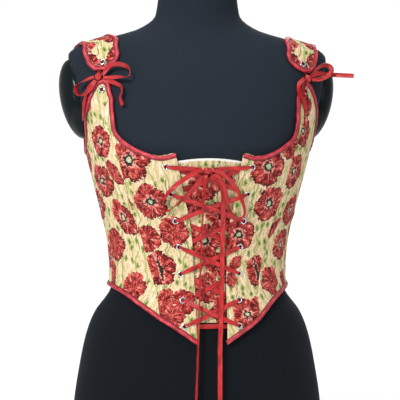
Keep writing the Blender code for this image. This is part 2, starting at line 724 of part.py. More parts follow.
# How a lace turns through an eyelet: distance along its run, lift, and the ribbon's width there
Turn = namedtuple("Turn", "along lift width")
OUTSIDE_TURN = (Turn(0.3, 1.0, 3.0), Turn(1.6, 1.75, 3.2), Turn(5.0, 1.85, 4.2), Turn(11.0, 1.85, 5.8))
INSIDE_TURN = (Turn(0.3, -2.3, 3.0), Turn(1.6, -2.75, 3.2), Turn(5.0, -2.75, 4.2), Turn(11.0, -2.75, 5.8))
IN_EYELET_LIFT = -0.6
OUTSIDE_MIDDLE = {"under": 0.75, "over": 1.9}
INSIDE_MIDDLE = {"under": -3.45, "over": -2.5}
RUN_STEPS = 4
TO_KNOT = ((0.04, 3.2), (0.12, 4.6), (0.3, RIBBON_WIDTH), (0.5, RIBBON_WIDTH), (0.7, RIBBON_WIDTH))


def lace_place(side, row):
    eyelet = LACE_EYELETS[row - 1]
    return Vector((worn(side, *eyelet), eyelet.height))


def lace_run(start, end, turns, middle, outside):
    """The course of a lace from one eyelet to the next, over or under the cloth."""
    from_point, to_point = on_cloth(*start), on_cloth(*end)
    length = (to_point - from_point).length
    shares = [(turn.along / length, turn.lift, turn.width) for turn in turns]
    rest = turns[-1]
    for i in range(1, RUN_STEPS):
        share = shares[len(turns) - 1][0] + (1 - 2 * shares[len(turns) - 1][0]) * i / RUN_STEPS
        bow = math.sin(math.pi * share)
        shares.append((share, rest.lift + (middle - rest.lift) * bow, RIBBON_WIDTH))
    shares += [(1 - turn.along / length, turn.lift, turn.width) for turn in reversed(turns)]
    course = []
    sign = 1 if outside else -1
    for share, lift, width in shares:
        bearing, height = start.lerp(end, share)
        normal = outward(bearing, height)
        across = normal.cross(to_point - from_point).normalized() * sign
        course.append((on_cloth(bearing, height, lift), across, width))
    return course


def lace_hole(place, before, after):
    """The point where a lace passes through an eyelet, its width turned half way between its two runs."""
    return (on_cloth(*place, IN_EYELET_LIFT), (before + after).normalized(), RIBBON_IN_EYELET)


def lace_half(first_side, layer):
    """One half of the lace, from the bottom eyelet on one side to the top eyelet."""
    side = first_side
    course = []
    for row in range(len(LACE_EYELETS), 1, -1):
        outside = (len(LACE_EYELETS) - row) % 2 == 0
        start, end = lace_place(side, row), lace_place(-side, row - 1)
        turns = OUTSIDE_TURN if outside else INSIDE_TURN
        middle = (OUTSIDE_MIDDLE if outside else INSIDE_MIDDLE)[layer]
        run = lace_run(start, end, turns, middle, outside)
        before = course[-1][1] if course else run[0][1]
        course.append(lace_hole(start, before, run[0][1]))
        course += run
        side = -side
    return course, side


def make_lace(finish, parts):
    """Both halves of the lace, from the bar behind the bottom eyelets to the knot."""
    knot, _ = before_cloth(FRONT_KNOT)
    for name, side, layer in (("a", LEFT, "under"), ("b", RIGHT, "over")):
        course, last_side = lace_half(side, layer)
        top = lace_place(last_side, 1)
        leave = last_side * (FRONT_KNOT_SIZE[0] + 1.2)
        point, normal = before_cloth(Stop(FRONT_KNOT.x + leave, FRONT_KNOT.height + 1.5, 2.4, 0))
        start = on_cloth(*top, 1.85)
        across = normal.cross(point - start).normalized()
        run = [(on_cloth(*top, 1.0), across, 3.0)]
        for share, width in TO_KNOT:
            bulge = normal * (4.0 * share * (1 - share))
            run.append((start.lerp(point, share) + bulge, across, width))
        run.append((point, across, RIBBON_WIDTH - 1.2))
        course.append(lace_hole(top, course[-1][1], across))
        course += run
        if layer == "under":
            bar_start, bar_end = lace_place(-side, len(LACE_EYELETS)), lace_place(side, len(LACE_EYELETS))
            bar = lace_run(bar_start, bar_end, INSIDE_TURN, INSIDE_MIDDLE["under"], False)
            course = bar[3:] + course
        ribbon(f"lace_{name}", course, finish, parts)


def make_knot(name, stop, size, finish, parts):
    centre, normal = before_cloth(stop)
    bm = bmesh.new()
    bmesh.ops.create_uvsphere(bm, u_segments=10, v_segments=6, radius=1)
    bmesh.ops.scale(bm, vec=size, verts=bm.verts)
    turn = Matrix.Translation(centre) @ normal.to_track_quat("Z", "Y").to_matrix().to_4x4()
    bmesh.ops.transform(bm, matrix=turn, verts=bm.verts)
    return new_object(name, bm, finish, parts)


def make_front_bow(finish, parts):
    make_knot("bow_knot", FRONT_KNOT, FRONT_KNOT_SIZE, finish, parts)
    for name, stops in FRONT_LOOPS.items():
        ribbon(f"bow_loop_{name}", free_course(stops, STEPS_PER_STOP), finish, parts)
    for name, stops in FRONT_TAILS.items():
        ribbon(f"bow_tail_{name}", free_course(stops, TAIL_STEPS_PER_STOP), finish, parts)


def make_shoulder_tie(name, side, finish, parts):
    """The ribbon that ties a back strap's tab to the front strap, with its bow."""
    knot = SHOULDER_KNOTS[name]
    make_knot(f"tie_knot_{name}", knot, SHOULDER_KNOT_SIZE, finish, parts)
    for end, stops in SHOULDER_RIBBONS[name].items():
        ribbon(f"tie_{end}_{name}", free_course(stops, STEPS_PER_STOP), finish, parts)
    for end, eyelet, rises in (("tab", TAB_EYELET, TAB_TIE_RISES), ("strap", STRAP_EYELET, STRAP_TIE_RISES)):
        bearing, height = side * eyelet.bearing, eyelet.height
        way = 1 if knot.height > height else -1
        behind = -WALL - CLEAR - RIBBON_WALL / 2 - 0.1
        stretch = [
            (height, 0.4, 3.0), (height, -WALL + 0.4, 3.0), (height + way * 1.2, behind, 3.2),
            (height + way * 5, behind, 4.4), (knot.height + rises[0], behind, 5.0),
            (knot.height + rises[1], -WALL / 2, 5.0), (knot.height + rises[2], 1.2, 4.6),
        ]
        course = []
        for at, lift, width in stretch:
            normal = outward(bearing, at)
            across = normal.cross(Vector((0, 0, 1))).normalized()
            course.append((on_cloth(bearing, at, lift), across, width))
        ribbon(f"tie_{end}_{name}", course, finish, parts)


def main():
    parts, cutters = cleared_collections()
    jersey = material("black_jersey", (0.020, 0.024, 0.032), 0.9)
    gloss = material("gloss_cap", (0.012, 0.018, 0.018), 0.15)
    tapestry = material("poppy_tapestry", (0.62, 0.30, 0.20), 0.8)
    bias = material("red_bias", (0.50, 0.03, 0.06), 0.4)
    satin = material("red_satin", (0.65, 0.02, 0.03), 0.3)
    silver = material("silver_eyelet", (0.8, 0.8, 0.8), 0.25, 1.0)

    make_form(jersey, parts, cutters)
    make_placket(tapestry, parts)
    for name, side in SIDES.items():
        make_arm_cap(name, side, gloss, parts)
        make_fronts(name, side, tapestry, parts, cutters)
        make_back(name, side, tapestry, parts, cutters)
        make_bindings(name, side, bias, parts)
        make_shoulder_tie(name, side, satin, parts)
    make_eyelets(silver, parts)
    make_lace(satin, parts)
    make_front_bow(satin, parts)


main()
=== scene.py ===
import logging
import math
from dataclasses import dataclass
from enum import Enum
from typing import Callable, NamedTuple, Sequence, TypeVar

import bmesh
import bpy
from bmesh.types import BMesh
from bpy.types import Material, NodeSocket, Object
from mathutils import Matrix, Vector, noise


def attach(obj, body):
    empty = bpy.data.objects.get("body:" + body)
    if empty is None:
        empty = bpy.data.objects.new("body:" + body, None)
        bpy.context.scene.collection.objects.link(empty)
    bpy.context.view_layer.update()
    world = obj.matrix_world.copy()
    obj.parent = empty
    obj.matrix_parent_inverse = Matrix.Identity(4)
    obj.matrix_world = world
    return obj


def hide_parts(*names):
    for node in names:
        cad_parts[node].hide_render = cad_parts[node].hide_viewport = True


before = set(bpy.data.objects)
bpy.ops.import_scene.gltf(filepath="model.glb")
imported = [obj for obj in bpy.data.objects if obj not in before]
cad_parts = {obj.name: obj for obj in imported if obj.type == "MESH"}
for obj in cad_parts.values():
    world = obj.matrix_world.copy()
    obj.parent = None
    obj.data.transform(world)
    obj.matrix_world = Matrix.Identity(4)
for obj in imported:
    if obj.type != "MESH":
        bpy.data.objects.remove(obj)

logging.basicConfig(level=logging.INFO, format="%(message)s")
LOG = logging.getLogger("corset_vest")

MM = 0.001
BODY = "root"

# Sizes shared by the pieces, in mm
WALL = 1.8
EASE_LACED = 4.2
EASE_BODY = 3.1
EASE_STRAP = 1.7
SEAM_GAP = 0.3
CLEAR = 0.3
RIBBON_WIDTH = 6.2
RIBBON_WALL = 0.5

# Where the laced front's ease ends, in degrees, and the strap's begins, in mm, and how gradually
LACED_TO = 50
LACED_FADE = 18
STRAP_FROM = 420
STRAP_FADE = 60


class Half(Enum):
    """The two halves of the vest, with the sign of their side along X."""

    LEFT = -1
    RIGHT = 1

    @property
    def label(self) -> str:
        """The half's word in a piece's name."""
        return self.name.lower()


class Bloom(Enum):
    """How a woven flower is drawn; the value is the code that the tapestry's shader reads."""

    BUD = 0
    OPEN = 1
    SIDE = 2


class Section(NamedTuple):
    """A level section of the figure: half width, depth to the front and back, and its roundness."""

    height: float
    half_width: float
    front: float
    back: float
    roundness: float


class FrontRow(NamedTuple):
    """A row of the front pattern: front edge, princess seam and outer edge, as bearings and heights."""

    edge: float
    edge_height: float
    seam: float
    seam_height: float
    side: float
    side_height: float
    rise: float


class BackRow(NamedTuple):
    """A row of the back pattern: centre back or neckline, and side or armhole."""

    centre: float
    centre_height: float
    side: float
    side_height: float


class Eyelet(NamedTuple):
    """An eyelet's bearing and height on its half."""

    bearing: float
    height: float

    def on(self, half: Half) -> "Spot":
        """Its place on one half of the vest, as (bearing, height)."""
        return half.value * self.bearing, self.height


class Stop(NamedTuple):
    """A point of a ribbon's route: x, height, lift before the cloth, and tilt from flat to edge-on."""

    x: float
    height: float
    lift: float
    tilt: float


class Turn(NamedTuple):
    """How a lace leaves an eyelet: distance along its run, lift, and the ribbon's width there."""

    along: float
    lift: float
    width: float


class Flower(NamedTuple):
    """A woven flower: place (bearing and height, or mm of grain), radius, narrowness, turn and kind."""

    across: float
    up: float
    radius: float
    narrow: float
    turn: float
    bloom: Bloom


class Crease(NamedTuple):
    """A soft crease in the cloth: its middle, the way it runs, its length, width and depth."""

    bearing: float
    height: float
    turn: float
    length: float
    width: float
    depth: float


class Lamp(NamedTuple):
    """A soft rectangular light: its place and size in metres, its power in watts, and what it faces."""

    name: str
    place: tuple[float, float, float]
    size: tuple[float, float]
    power: float
    aim: tuple[float, float, float] = (0.0, 0.0, 0.35)


class Station(NamedTuple):
    """A point along a ribbon, the direction across it, and its width."""

    point: Vector
    across: Vector
    width: float


Colour = tuple[float, float, float]
Place = tuple[Vector, tuple[float, float]]
Spot = tuple[float, float]
Value = TypeVar("Value", float, Vector)


def route(*rows: tuple[float, float, float, float]) -> tuple[Stop, ...]:
    """A ribbon's route, from rows of x, height, lift and tilt."""
    return tuple(Stop(*row) for row in rows)


# The figure: level sections from the foot to the neck's top, in mm
FIGURE = tuple(Section(*row) for row in (
    (0, 174, 100, 120, 2.2),
    (45, 171.5, 101, 123, 2.2),
    (100, 163, 101, 118, 2.2),
    (142, 153.5, 99, 108, 2.2),
    (170, 142, 95, 99, 2.15),
    (198, 122, 88, 90, 2.1),
    (225, 118, 84, 86, 2.1),
    (253, 119.5, 84.5, 86.5, 2.1),
    (281, 123.7, 89, 90, 2.1),
    (309, 130.5, 97, 95, 2.15),
    (336, 137, 106, 100, 2.2),
    (364, 144.5, 114, 104, 2.25),
    (392, 151, 117, 106, 2.3),
    (420, 159, 112, 110, 2.3),
    (450, 171, 102, 111, 2.3),
    (480, 180, 90, 107, 2.3),
    (505, 184, 77, 99, 2.3),
    (519, 182, 69, 92, 2.3),
    (531, 172, 62, 85, 2.3),
    (538, 154, 57, 79, 2.3),
    (545, 130, 53, 73, 2.3),
    (552, 104, 50, 67, 2.2),
    (559, 83, 48, 62, 2.1),
    (573, 62, 48, 54, 2.05),
    (587, 57, 50, 50, 2.0),
    (612, 54, 53, 46, 2.0),
))

# The front pattern from the hem up, in degrees and mm
FRONT = tuple(FrontRow(*row) for row in (
    (11.5, 129.5, 36.5, 160, 92.0, 205, 10.8),
    (12.3, 165, 41.0, 192, 92.0, 224, 7),
    (13.5, 196, 45.5, 216, 92.0, 243, 4),
    (14.8, 228, 49.5, 241, 92.0, 263, 2),
    (15.4, 262, 52.0, 271, 92.0, 287, 0),
    (16.5, 296, 54.0, 301, 92.0, 313, 0),
    (18.5, 330, 55.0, 330, 92.0, 339, 0),
    (19.8, 360, 54.6, 352, 92.0, 362, 0),
    (21.5, 384, 54.8, 366, 92.0, 377, 0),
    (31.0, 380.5, 55.3, 380, 92.0, 391.5, 0),
    (41.5, 388, 56.6, 394, 85.0, 396.5, 0),
    (50.0, 399.5, 58.6, 407, 79.5, 409.5, 0),
    (55.4, 413.5, 60.6, 421, 76.0, 428, 0),
    (57.0, 434, 62.0, 438, 73.0, 443, 0),
    (58.0, 448, 61.6, 449.5, 71.3, 454, 0),
    (58.7, 459, 59.9, 460, 70.0, 463, 0),
    (60.4, 471, 60.8, 471.5, 68.7, 471, 0),
    (62.0, 479, 62.3, 479, 67.8, 477, 0),
    (64.4, 483, 64.5, 483, 66.7, 481.8, 0),
))
FRONT_CORNER = 8
UNDERARM = 9
SEAM_END = 15

# The back pattern from the hem up and over the shoulder
BACK = tuple(BackRow(*row) for row in (
    (180, 192, 92.0, 205),
    (180, 225, 92.0, 235),
    (180, 262, 92.0, 266),
    (180, 300, 92.0, 300),
    (180, 338, 92.0, 334),
    (180, 372, 92.0, 364),
    (180, 405, 92.0, 391.5),
    (167, 407, 99.0, 396.5),
    (153, 416, 104.5, 412),
    (142, 434, 108.0, 438),
    (134, 460, 110.0, 466),
    (127.5, 488, 109.5, 492),
    (121.5, 512, 107.5, 511),
    (115, 530, 103.0, 525),
    (104, 541, 97.0, 532.5),
    (90, 546.5, 89.0, 535.5),
    (73, 541.5, 80.5, 531.5),
    (65.5, 526, 77.0, 521.5),
    (62.6, 512, 74.4, 511.5),
    (63.6, 503, 72.2, 503),
    (66.0, 497, 69.4, 496.9),
))
BACK_CORNER = 6
UNDERARM_GAP = 0.4
CENTRE_BACK_GAP = 0.008

LACE_EYELETS = (
    Eyelet(27.6, 367.5),
    Eyelet(27.2, 332),
    Eyelet(27.0, 296),
    Eyelet(26.3, 260),
    Eyelet(25.4, 223),
    Eyelet(22.9, 186.5),
    Eyelet(20.6, 153),
)
STRAP_EYELET = Eyelet(64.3, 470.5)
TAB_EYELET = Eyelet(67.8, 507.5)

# The lacing is worn a little off the centre front, more so towards the hem
LEAN = 3.1
LEAN_TOP = 384
LEAN_FULL = 230
LEAN_KEPT_TO = 30
LEAN_GONE_AT = 52

PLACKET_HALF_BEARING = 24
PLACKET_BOTTOM = 158
PLACKET_TOP = 373
PLACKET_TOP_RISE = 5

# Ribbon routes
FRONT_KNOT = Stop(-3.5, 361.5, 4.6, 0)
FRONT_KNOT_SIZE = (6.5, 4.6, 2.9)
FRONT_LOOPS = {
    "left": route(
        (-10.5, 362.5, 5.2, 5), (-24, 357, 7.5, 12), (-40, 346, 7.5, 20), (-54, 333, 6.2, 40),
        (-60.5, 320, 6.0, 75), (-59.5, 310, 6.0, 90), (-53, 308.5, 6.0, 90), (-44, 315, 6.0, 60),
        (-33, 326, 5.5, 30), (-20, 340, 6.0, 10), (-10.5, 353.5, 5.0, 0),
    ),
    "right": route(
        (3.6, 362, 5.4, 5), (13, 359, 7.0, 12), (28, 347, 8.0, 20), (40, 331, 7.5, 40),
        (48, 314, 6.4, 75), (49.5, 303, 6.0, 90), (45.5, 298.5, 6.0, 90), (38.5, 299.5, 6.0, 85),
        (30, 306, 5.8, 50), (24.5, 319, 6.4, 25), (20, 336, 7.2, 10), (14, 349, 7.2, 5),
        (5.2, 356.5, 5.8, 0),
    ),
}
FRONT_TAILS = {
    "left": route(
        (-6.0, 355.6, 3.6, 20), (-6.8, 344, 5.4, 55), (-7.7, 309, 6.0, 72), (-7.8, 273, 6.0, 75),
        (-9.0, 231, 6.0, 75), (-10.4, 203.5, 6.0, 75), (-13.7, 152, 6.0, 75), (-14.8, 123, 5.8, 75),
        (-16.2, 84.5, 5.0, 75), (-17.0, 56.6, 4.5, 75), (-17.5, 14, 4.5, 75),
    ),
    "right": route(
        (1.2, 355.0, 3.2, 0), (9.0, 350.5, 3.4, 0), (15.5, 343, 3.5, 0), (18.8, 326.5, 3.6, 0),
        (20.2, 300, 3.6, 5), (20.8, 255, 3.6, 10), (20.5, 222, 3.6, 5), (17.9, 185, 3.6, 0),
        (16.3, 148, 3.6, 0), (15.2, 122.6, 3.4, 5), (15.1, 56, 3.0, 5), (15.1, 14, 3.0, 5),
    ),
}
SHOULDER_KNOTS = {"left": Stop(-144.0, 488.5, 4.2, 0), "right": Stop(143.0, 488.5, 4.2, 0)}
SHOULDER_KNOT_SIZE = (5.4, 4.8, 3.0)
TAB_TIE_RISES = (5.3, 3.4, 2.4)
STRAP_TIE_RISES = (-2.2, -1.0, -0.6)
SHOULDER_RIBBONS = {
    "left": {
        "loop_in": route(
            (-138.6, 490.5, 4.6, 20), (-131, 501, 9, 30), (-121, 505, 10, 40),
            (-109, 502.5, 10, 60), (-102.5, 495, 9, 88), (-106, 487.5, 9, 70), (-121, 487, 8, 30),
            (-137.7, 486.8, 4.9, 10),
        ),
        "loop_out": route(
            (-149.6, 488.2, 4.6, 20), (-159, 484.5, 9, 40), (-168.5, 480, 11, 70),
            (-173.5, 472.5, 11, 90), (-170, 464.5, 10, 80), (-163, 464.5, 10, 60),
            (-155, 472, 9, 40), (-147.8, 483.4, 5.7, 10),
        ),
        "tail_in": route(
            (-138.2, 485.0, 3.4, 10), (-128, 481.5, 4.2, 20), (-116, 475.5, 4.0, 50),
            (-114.0, 468, 4.6, 60), (-116.5, 460, 4.2, 45), (-113.6, 449, 3.8, 30),
        ),
        "tail_out": route(
            (-149.2, 483.6, 2.6, 20), (-157.5, 471.5, 3.4, 10), (-161.8, 455, 4.6, 5),
            (-163.4, 441, 5.0, 5), (-163.6, 430, 5.4, 5),
        ),
    },
    "right": {
        "loop_out": route(
            (148.3, 490.6, 4.8, 20), (157, 502, 11, 30), (168, 508, 13, 40), (177, 506.5, 14, 70),
            (179.5, 500, 14, 90), (172, 492, 13, 60), (160, 488, 10, 30), (149.0, 486.8, 5.0, 10),
        ),
        "loop_in": route(
            (137.4, 487.8, 4.6, 20), (129.5, 481.5, 7.6, 45), (126.5, 472.5, 8.6, 80),
            (129, 463.5, 8.2, 90), (135.5, 460.5, 8.2, 70), (139.5, 468.5, 8.4, 50),
            (141.2, 483.0, 6.4, 20),
        ),
        "tail_out": route(
            (147.4, 492.6, 2.4, 20), (160, 496.0, 3.8, 10), (176, 495.6, 6.0, 5),
            (194, 494.6, 9.0, 0), (211, 493.8, 11.0, 0),
        ),
        "tail_in": route(
            (137.2, 482.4, 4.0, 10), (134.5, 472, 3.6, 10), (134.5, 461, 3.6, 10),
            (139.2, 445.2, 3.4, 5),
        ),
    },
}

# Armhole caps
CAP_LOW_X = 153
CAP_LOW_HEIGHT = 400
CAP_LEAN = math.atan2(25, 120)
CAP_CENTRE_HEIGHT = 462
CAP_HALF_DEPTH = 39
CAP_HALF_HEIGHT = 56
CAP_DOME = 24
CAP_SET_BACK = 4


# The woven flowers, charted on each panel
BUD, OPEN, SIDE = Bloom
CHARTS = {name: tuple(Flower(*row) for row in rows) for name, rows in {
    "centre_front_left": (
        (-49, 377, 28, 1.0, 10, OPEN), (-40.5, 322, 23, 0.95, 30, OPEN),
        (-27.5, 281, 21, 0.9, -10, BUD), (-48.5, 271, 20, 0.9, 60, BUD),
        (-39, 230, 24, 0.82, 18, SIDE), (-53.5, 239, 18, 0.36, 28, BUD),
        (-34.5, 184, 19, 0.6, -15, BUD), (-20.5, 184, 18, 0.9, 40, BUD),
        (-26.8, 166, 17, 0.9, 0, BUD), (-57, 322, 14, 0.5, 30, BUD),
    ),
    "side_front_left": (
        (-66, 402, 21, 0.8, 10, OPEN), (-62, 300, 25, 0.6, 24, OPEN),
        (-75.5, 262, 22, 0.9, 0, BUD), (-58.5, 202, 22, 0.85, 0, BUD),
        (-79, 222, 17, 0.4, 5, BUD), (-72, 350, 23, 0.9, 50, OPEN),
        (-71, 449, 8, 0.6, -15, BUD), (-86, 318, 21, 1.0, 0, OPEN),
        (-60, 360, 18, 0.5, 25, BUD), (-88, 380, 20, 0.9, 20, BUD),
        (-88, 245, 20, 0.8, 80, SIDE),
    ),
    "centre_front_right": (
        (38.2, 368, 25, 1.0, 0, OPEN), (45.6, 319, 23, 0.95, -25, OPEN),
        (26.3, 277, 23, 1.0, 30, OPEN), (44.4, 225, 23, 0.72, 12, SIDE),
        (30.2, 167, 20, 1.0, 0, OPEN), (41.5, 170, 19, 0.8, 30, BUD),
        (25.6, 238, 10, 0.8, -30, BUD), (21.6, 214, 10, 0.7, 0, BUD),
        (51.5, 397, 20, 0.8, 20, BUD),
    ),
    "side_front_right": (
        (58.6, 362, 23, 0.8, -5, OPEN), (68.8, 310, 21, 0.85, -8, OPEN),
        (55.5, 286, 15, 0.4, -22, BUD), (66.7, 262, 21, 0.8, -12, OPEN),
        (55.6, 212, 20, 0.75, -15, BUD), (71.6, 209, 19, 0.42, 0, BUD),
        (61.5, 416, 20, 0.8, 0, OPEN), (63, 452, 16, 0.7, 10, BUD),
        (84, 345, 22, 0.95, 30, OPEN), (84, 290, 21, 0.9, 0, BUD),
        (86, 240, 21, 0.9, 10, OPEN), (80, 385, 18, 0.6, 0, SIDE),
    ),
    "placket": (
        (-4, 344, 21, 1.0, 0, OPEN), (-12, 318, 15, 0.8, 40, BUD),
        (8, 300, 20, 0.8, 25, SIDE), (-5, 268, 22, 1.0, 0, OPEN),
        (7, 236, 18, 0.9, 50, BUD), (-3, 204, 20, 0.9, 0, OPEN),
        (9, 176, 18, 0.8, -20, BUD), (14, 350, 12, 0.6, 0, BUD),
    ),
}.items()}

# The hidden back repeats one group of flowers, in mm across and up its grain
BACK_REPEAT = (84.0, 104.0)
BACK_GROUP = tuple(Flower(*row) for row in (
    (-19, 22, 21, 1.0, 0, OPEN), (22, 38, 18, 0.8, 30, SIDE),
    (-18, 68, 18, 0.6, -20, BUD), (17, 80, 21, 0.95, 50, OPEN),
))

# Creases are placed on a cylinder of this radius, with a trough at both sides of each fold
CREASE_REACH = 118.0
TROUGH_SHARE = 0.35
TROUGH_AT = 1.9
UNEVEN = 0.35
UNEVEN_TO = 470
UNEVEN_FADE = 60
CREASES = tuple(Crease(*row) for row in (
    (-60, 385, 15, 26, 5.0, 1.1), (-66, 372, 25, 22, 4.0, 0.9), (-47, 352, 70, 24, 5.0, 0.7),
    (-34, 372, 80, 16, 4.0, 0.8), (-36, 338, 75, 20, 4.5, 0.6), (-33, 268, 80, 18, 4.0, 0.6),
    (-58, 240, 10, 34, 6.0, 0.8), (-70, 226, 5, 26, 5.0, 0.9), (-44, 206, -30, 24, 5.0, 0.7),
    (-82, 300, 0, 40, 7.0, 0.7), (52, 404, -18, 24, 4.5, 1.2), (57, 430, -5, 22, 4.0, 1.1),
    (64, 396, -30, 22, 4.5, 0.9), (36, 350, -72, 22, 5.0, 0.7), (60, 244, -8, 36, 6.0, 0.9),
    (72, 230, -4, 28, 5.0, 0.9), (43, 206, 30, 24, 5.0, 0.7), (82, 304, 0, 40, 7.0, 0.7),
    (34, 262, -80, 18, 4.0, 0.6), (128, 260, 8, 60, 9.0, 1.0), (-128, 262, -8, 60, 9.0, 1.0),
    (150, 236, 20, 34, 7.0, 0.9), (-150, 236, -20, 34, 7.0, 0.9), (112, 400, 40, 26, 6.0, 1.0),
    (-112, 400, -40, 26, 6.0, 1.0), (166, 300, 0, 40, 7.0, 0.7), (-166, 300, 0, 40, 7.0, 0.7),
))



def between(
    low: Value, high: Value, slope_low: Value, slope_high: Value, share: float, gap: float = 1.0,
) -> Value:
    """A smooth curve's value between two of its points.

    Args:
        low: The first point's value.
        high: The second point's value.
        slope_low: The curve's slope at the first point.
        slope_high: Its slope at the second point.
        share: The place between them, from 0 to 1.
        gap: How far apart the points are.

    Returns:
        The value there.
    """
    square, cube = share * share, share * share * share
    return (
        low * (2 * cube - 3 * square + 1) + slope_low * ((cube - 2 * square + share) * gap)
        + high * (3 * square - 2 * cube) + slope_high * ((cube - square) * gap)
    )


def spline(values: Sequence[float], at: float, corner: int | None = None) -> float:
    """Reads a smooth curve through values set one unit apart.

    Args:
        values: The values.
        at: The place to read, in units.
        corner: A value at which the curve has a sharp corner.

    Returns:
        The curve's value there.
    """
    first = min(max(int(at), 0), len(values) - 2)
    share = at - first
    low, high = values[first], values[first + 1]
    slope_low = high - low
    slope_high = high - low
    if first > 0 and first != corner:
        slope_low = (high - values[first - 1]) / 2
    if first + 2 < len(values) and first + 1 != corner:
        slope_high = (values[first + 2] - low) / 2
    return between(low, high, slope_low, slope_high, share)


def eased(share: float) -> float:
    """A smooth step from 0 to 1."""
    share = min(max(share, 0.0), 1.0)
    return share * share * (3 - 2 * share)


def steps(first: float, last: float, per_row: int) -> list[float]:
    """Row numbers from first to last, both included, with per_row steps for each row."""
    count = max(round(abs(last - first) * per_row), 1)
    return [first + (last - first) * i / count for i in range(count + 1)]


def facing(normal: Vector) -> Matrix:
    """A rotation that turns +Z to a normal, with +Y kept upwards."""
    return normal.to_track_quat("Z", "Y").to_matrix().to_4x4()


class Figure:
    """The form's surface and the cloth's face over it, in mm and degrees round from the centre front."""

    def __init__(self) -> None:
        """Starts with no level arc measured."""
        self.arcs: dict[int, list[float]] = {}

    def section(self, height: float) -> Section:
        """The level section at a height, read smoothly from the table."""
        rows = FIGURE
        height = min(max(height, rows[0].height), rows[-1].height)
        index = next(i for i in range(len(rows) - 1) if height <= rows[i + 1].height)
        low, high = rows[index], rows[index + 1]
        before, after = rows[max(index - 1, 0)], rows[min(index + 2, len(rows) - 1)]
        gap = high.height - low.height
        share = (height - low.height) / gap
        read = [height]
        for column in range(1, 5):
            slope_low = (high[column] - before[column]) / (high.height - before.height)
            slope_high = (after[column] - low[column]) / (after.height - low.height)
            read.append(between(low[column], high[column], slope_low, slope_high, share, gap))
        return Section(*read)

    def skin(self, bearing: float, height: float) -> Vector:
        """The point of the form's surface at a bearing and a height."""
        at = self.section(height)
        sine, cosine = math.sin(math.radians(bearing)), math.cos(math.radians(bearing))
        depth = at.front if cosine > 0 else at.back
        level = (abs(sine) / at.half_width) ** at.roundness + (abs(cosine) / depth) ** at.roundness
        reach = level ** (-1 / at.roundness)
        return Vector((reach * sine, -reach * cosine, height))

    def outward(self, bearing: float, height: float) -> Vector:
        """The outward normal of the form's surface."""
        across = self.skin(bearing + 0.5, height) - self.skin(bearing - 0.5, height)
        up = self.skin(bearing, height + 1.0) - self.skin(bearing, height - 1.0)
        return across.cross(up).normalized()

    def ease(self, bearing: float, height: float) -> float:
        """How far the cloth's inner face stands off the form."""
        turned = abs((bearing + 180) % 360 - 180)
        laced = EASE_BODY + (EASE_LACED - EASE_BODY) * eased((LACED_TO - turned) / LACED_FADE)
        plain = laced + (EASE_STRAP - laced) * eased((height - STRAP_FROM) / STRAP_FADE)
        return plain + self.creased(bearing, height)

    def creased(self, bearing: float, height: float) -> float:
        """How far the charted creases and a slight unevenness lift the cloth here."""
        turned = (bearing + 180) % 360 - 180
        lift = 0.0
        for crease in CREASES:
            across = math.radians(turned - crease.bearing) * CREASE_REACH
            up = height - crease.height
            if abs(across) + abs(up) > 2.2 * crease.length:
                continue
            way = math.radians(crease.turn)
            along = across * math.cos(way) + up * math.sin(way)
            off = up * math.cos(way) - across * math.sin(way)
            fold = math.exp(-((off / crease.width) ** 2))
            beside = (abs(off) - TROUGH_AT * crease.width) / crease.width
            trough = TROUGH_SHARE * math.exp(-(beside**2))
            lift += crease.depth * math.exp(-((along / crease.length) ** 2)) * (fold - trough)
        uneven = noise.noise(Vector((math.radians(turned) * 3.2, height * 0.026, 7.0)))
        return lift + UNEVEN * uneven * eased((UNEVEN_TO - height) / UNEVEN_FADE)

    def on_cloth(self, bearing: float, height: float, lift: float = 0.0) -> Vector:
        """A point before (or, below zero, behind) the cloth's outer face."""
        out = self.ease(bearing, height) + WALL + lift
        return self.skin(bearing, height) + self.outward(bearing, height) * out

    def seat(self, bearing: float, height: float, lift: float = 0.0) -> Matrix:
        """A frame on the cloth's outer face, or before it by a lift, with +Z outwards."""
        point = self.on_cloth(bearing, height, lift)
        return Matrix.Translation(point) @ facing(self.outward(bearing, height))

    def lean(self, bearing: float, height: float) -> float:
        """The turn of the laced front at a bearing from its centre."""
        down = eased((LEAN_TOP - height) / (LEAN_TOP - LEAN_FULL))
        kept = (LEAN_GONE_AT - bearing) / (LEAN_GONE_AT - LEAN_KEPT_TO)
        return LEAN * down * min(max(kept, 0.0), 1.0)

    def worn(self, side: int, bearing: float, height: float) -> float:
        """A pattern bearing of one half as a bearing on the figure."""
        return side * bearing + self.lean(bearing, height)

    def worn_eyelet(self, side: int, eyelet: Eyelet) -> Spot:
        """An eyelet of the lacing on the figure, as (bearing, height)."""
        return self.worn(side, *eyelet), eyelet.height

    def before_cloth(self, stop: Stop) -> tuple[Vector, Vector]:
        """A route's stop as (point, normal); its lift is straight forward from the cloth's face."""
        at = self.section(stop.height)
        across = min(abs(stop.x) / at.half_width, 0.95)
        depth = at.front * (1 - across**at.roundness) ** (1 / at.roundness)
        bearing = math.degrees(math.atan2(math.copysign(across * at.half_width, stop.x), depth))
        normal = self.outward(bearing, stop.height)
        thickness = (self.ease(bearing, stop.height) + WALL) / max(-normal.y, 0.5)
        return Vector((stop.x, -depth - thickness - stop.lift, stop.height)), normal

    def arc(self, bearing: float, height: float) -> float:
        """The signed level distance round the cloth from the centre front."""
        gap, step = 12, 4
        row = int(height // gap)
        for key in (row, row + 1):
            if key not in self.arcs:
                total, run = 0.0, [0.0]
                last = self.skin(0, key * gap)
                for turn in range(step, 181 + step, step):
                    here = self.skin(turn, key * gap)
                    total += (here - last).length
                    run.append(total)
                    last = here
                self.arcs[key] = run
        turned = min(abs(bearing), 180.0) / step
        first = min(int(turned), len(self.arcs[row]) - 2)
        part, up = turned - first, height / gap - row

        def read(run: list[float]) -> float:
            """The arc along one row."""
            return run[first] + (run[first + 1] - run[first]) * part

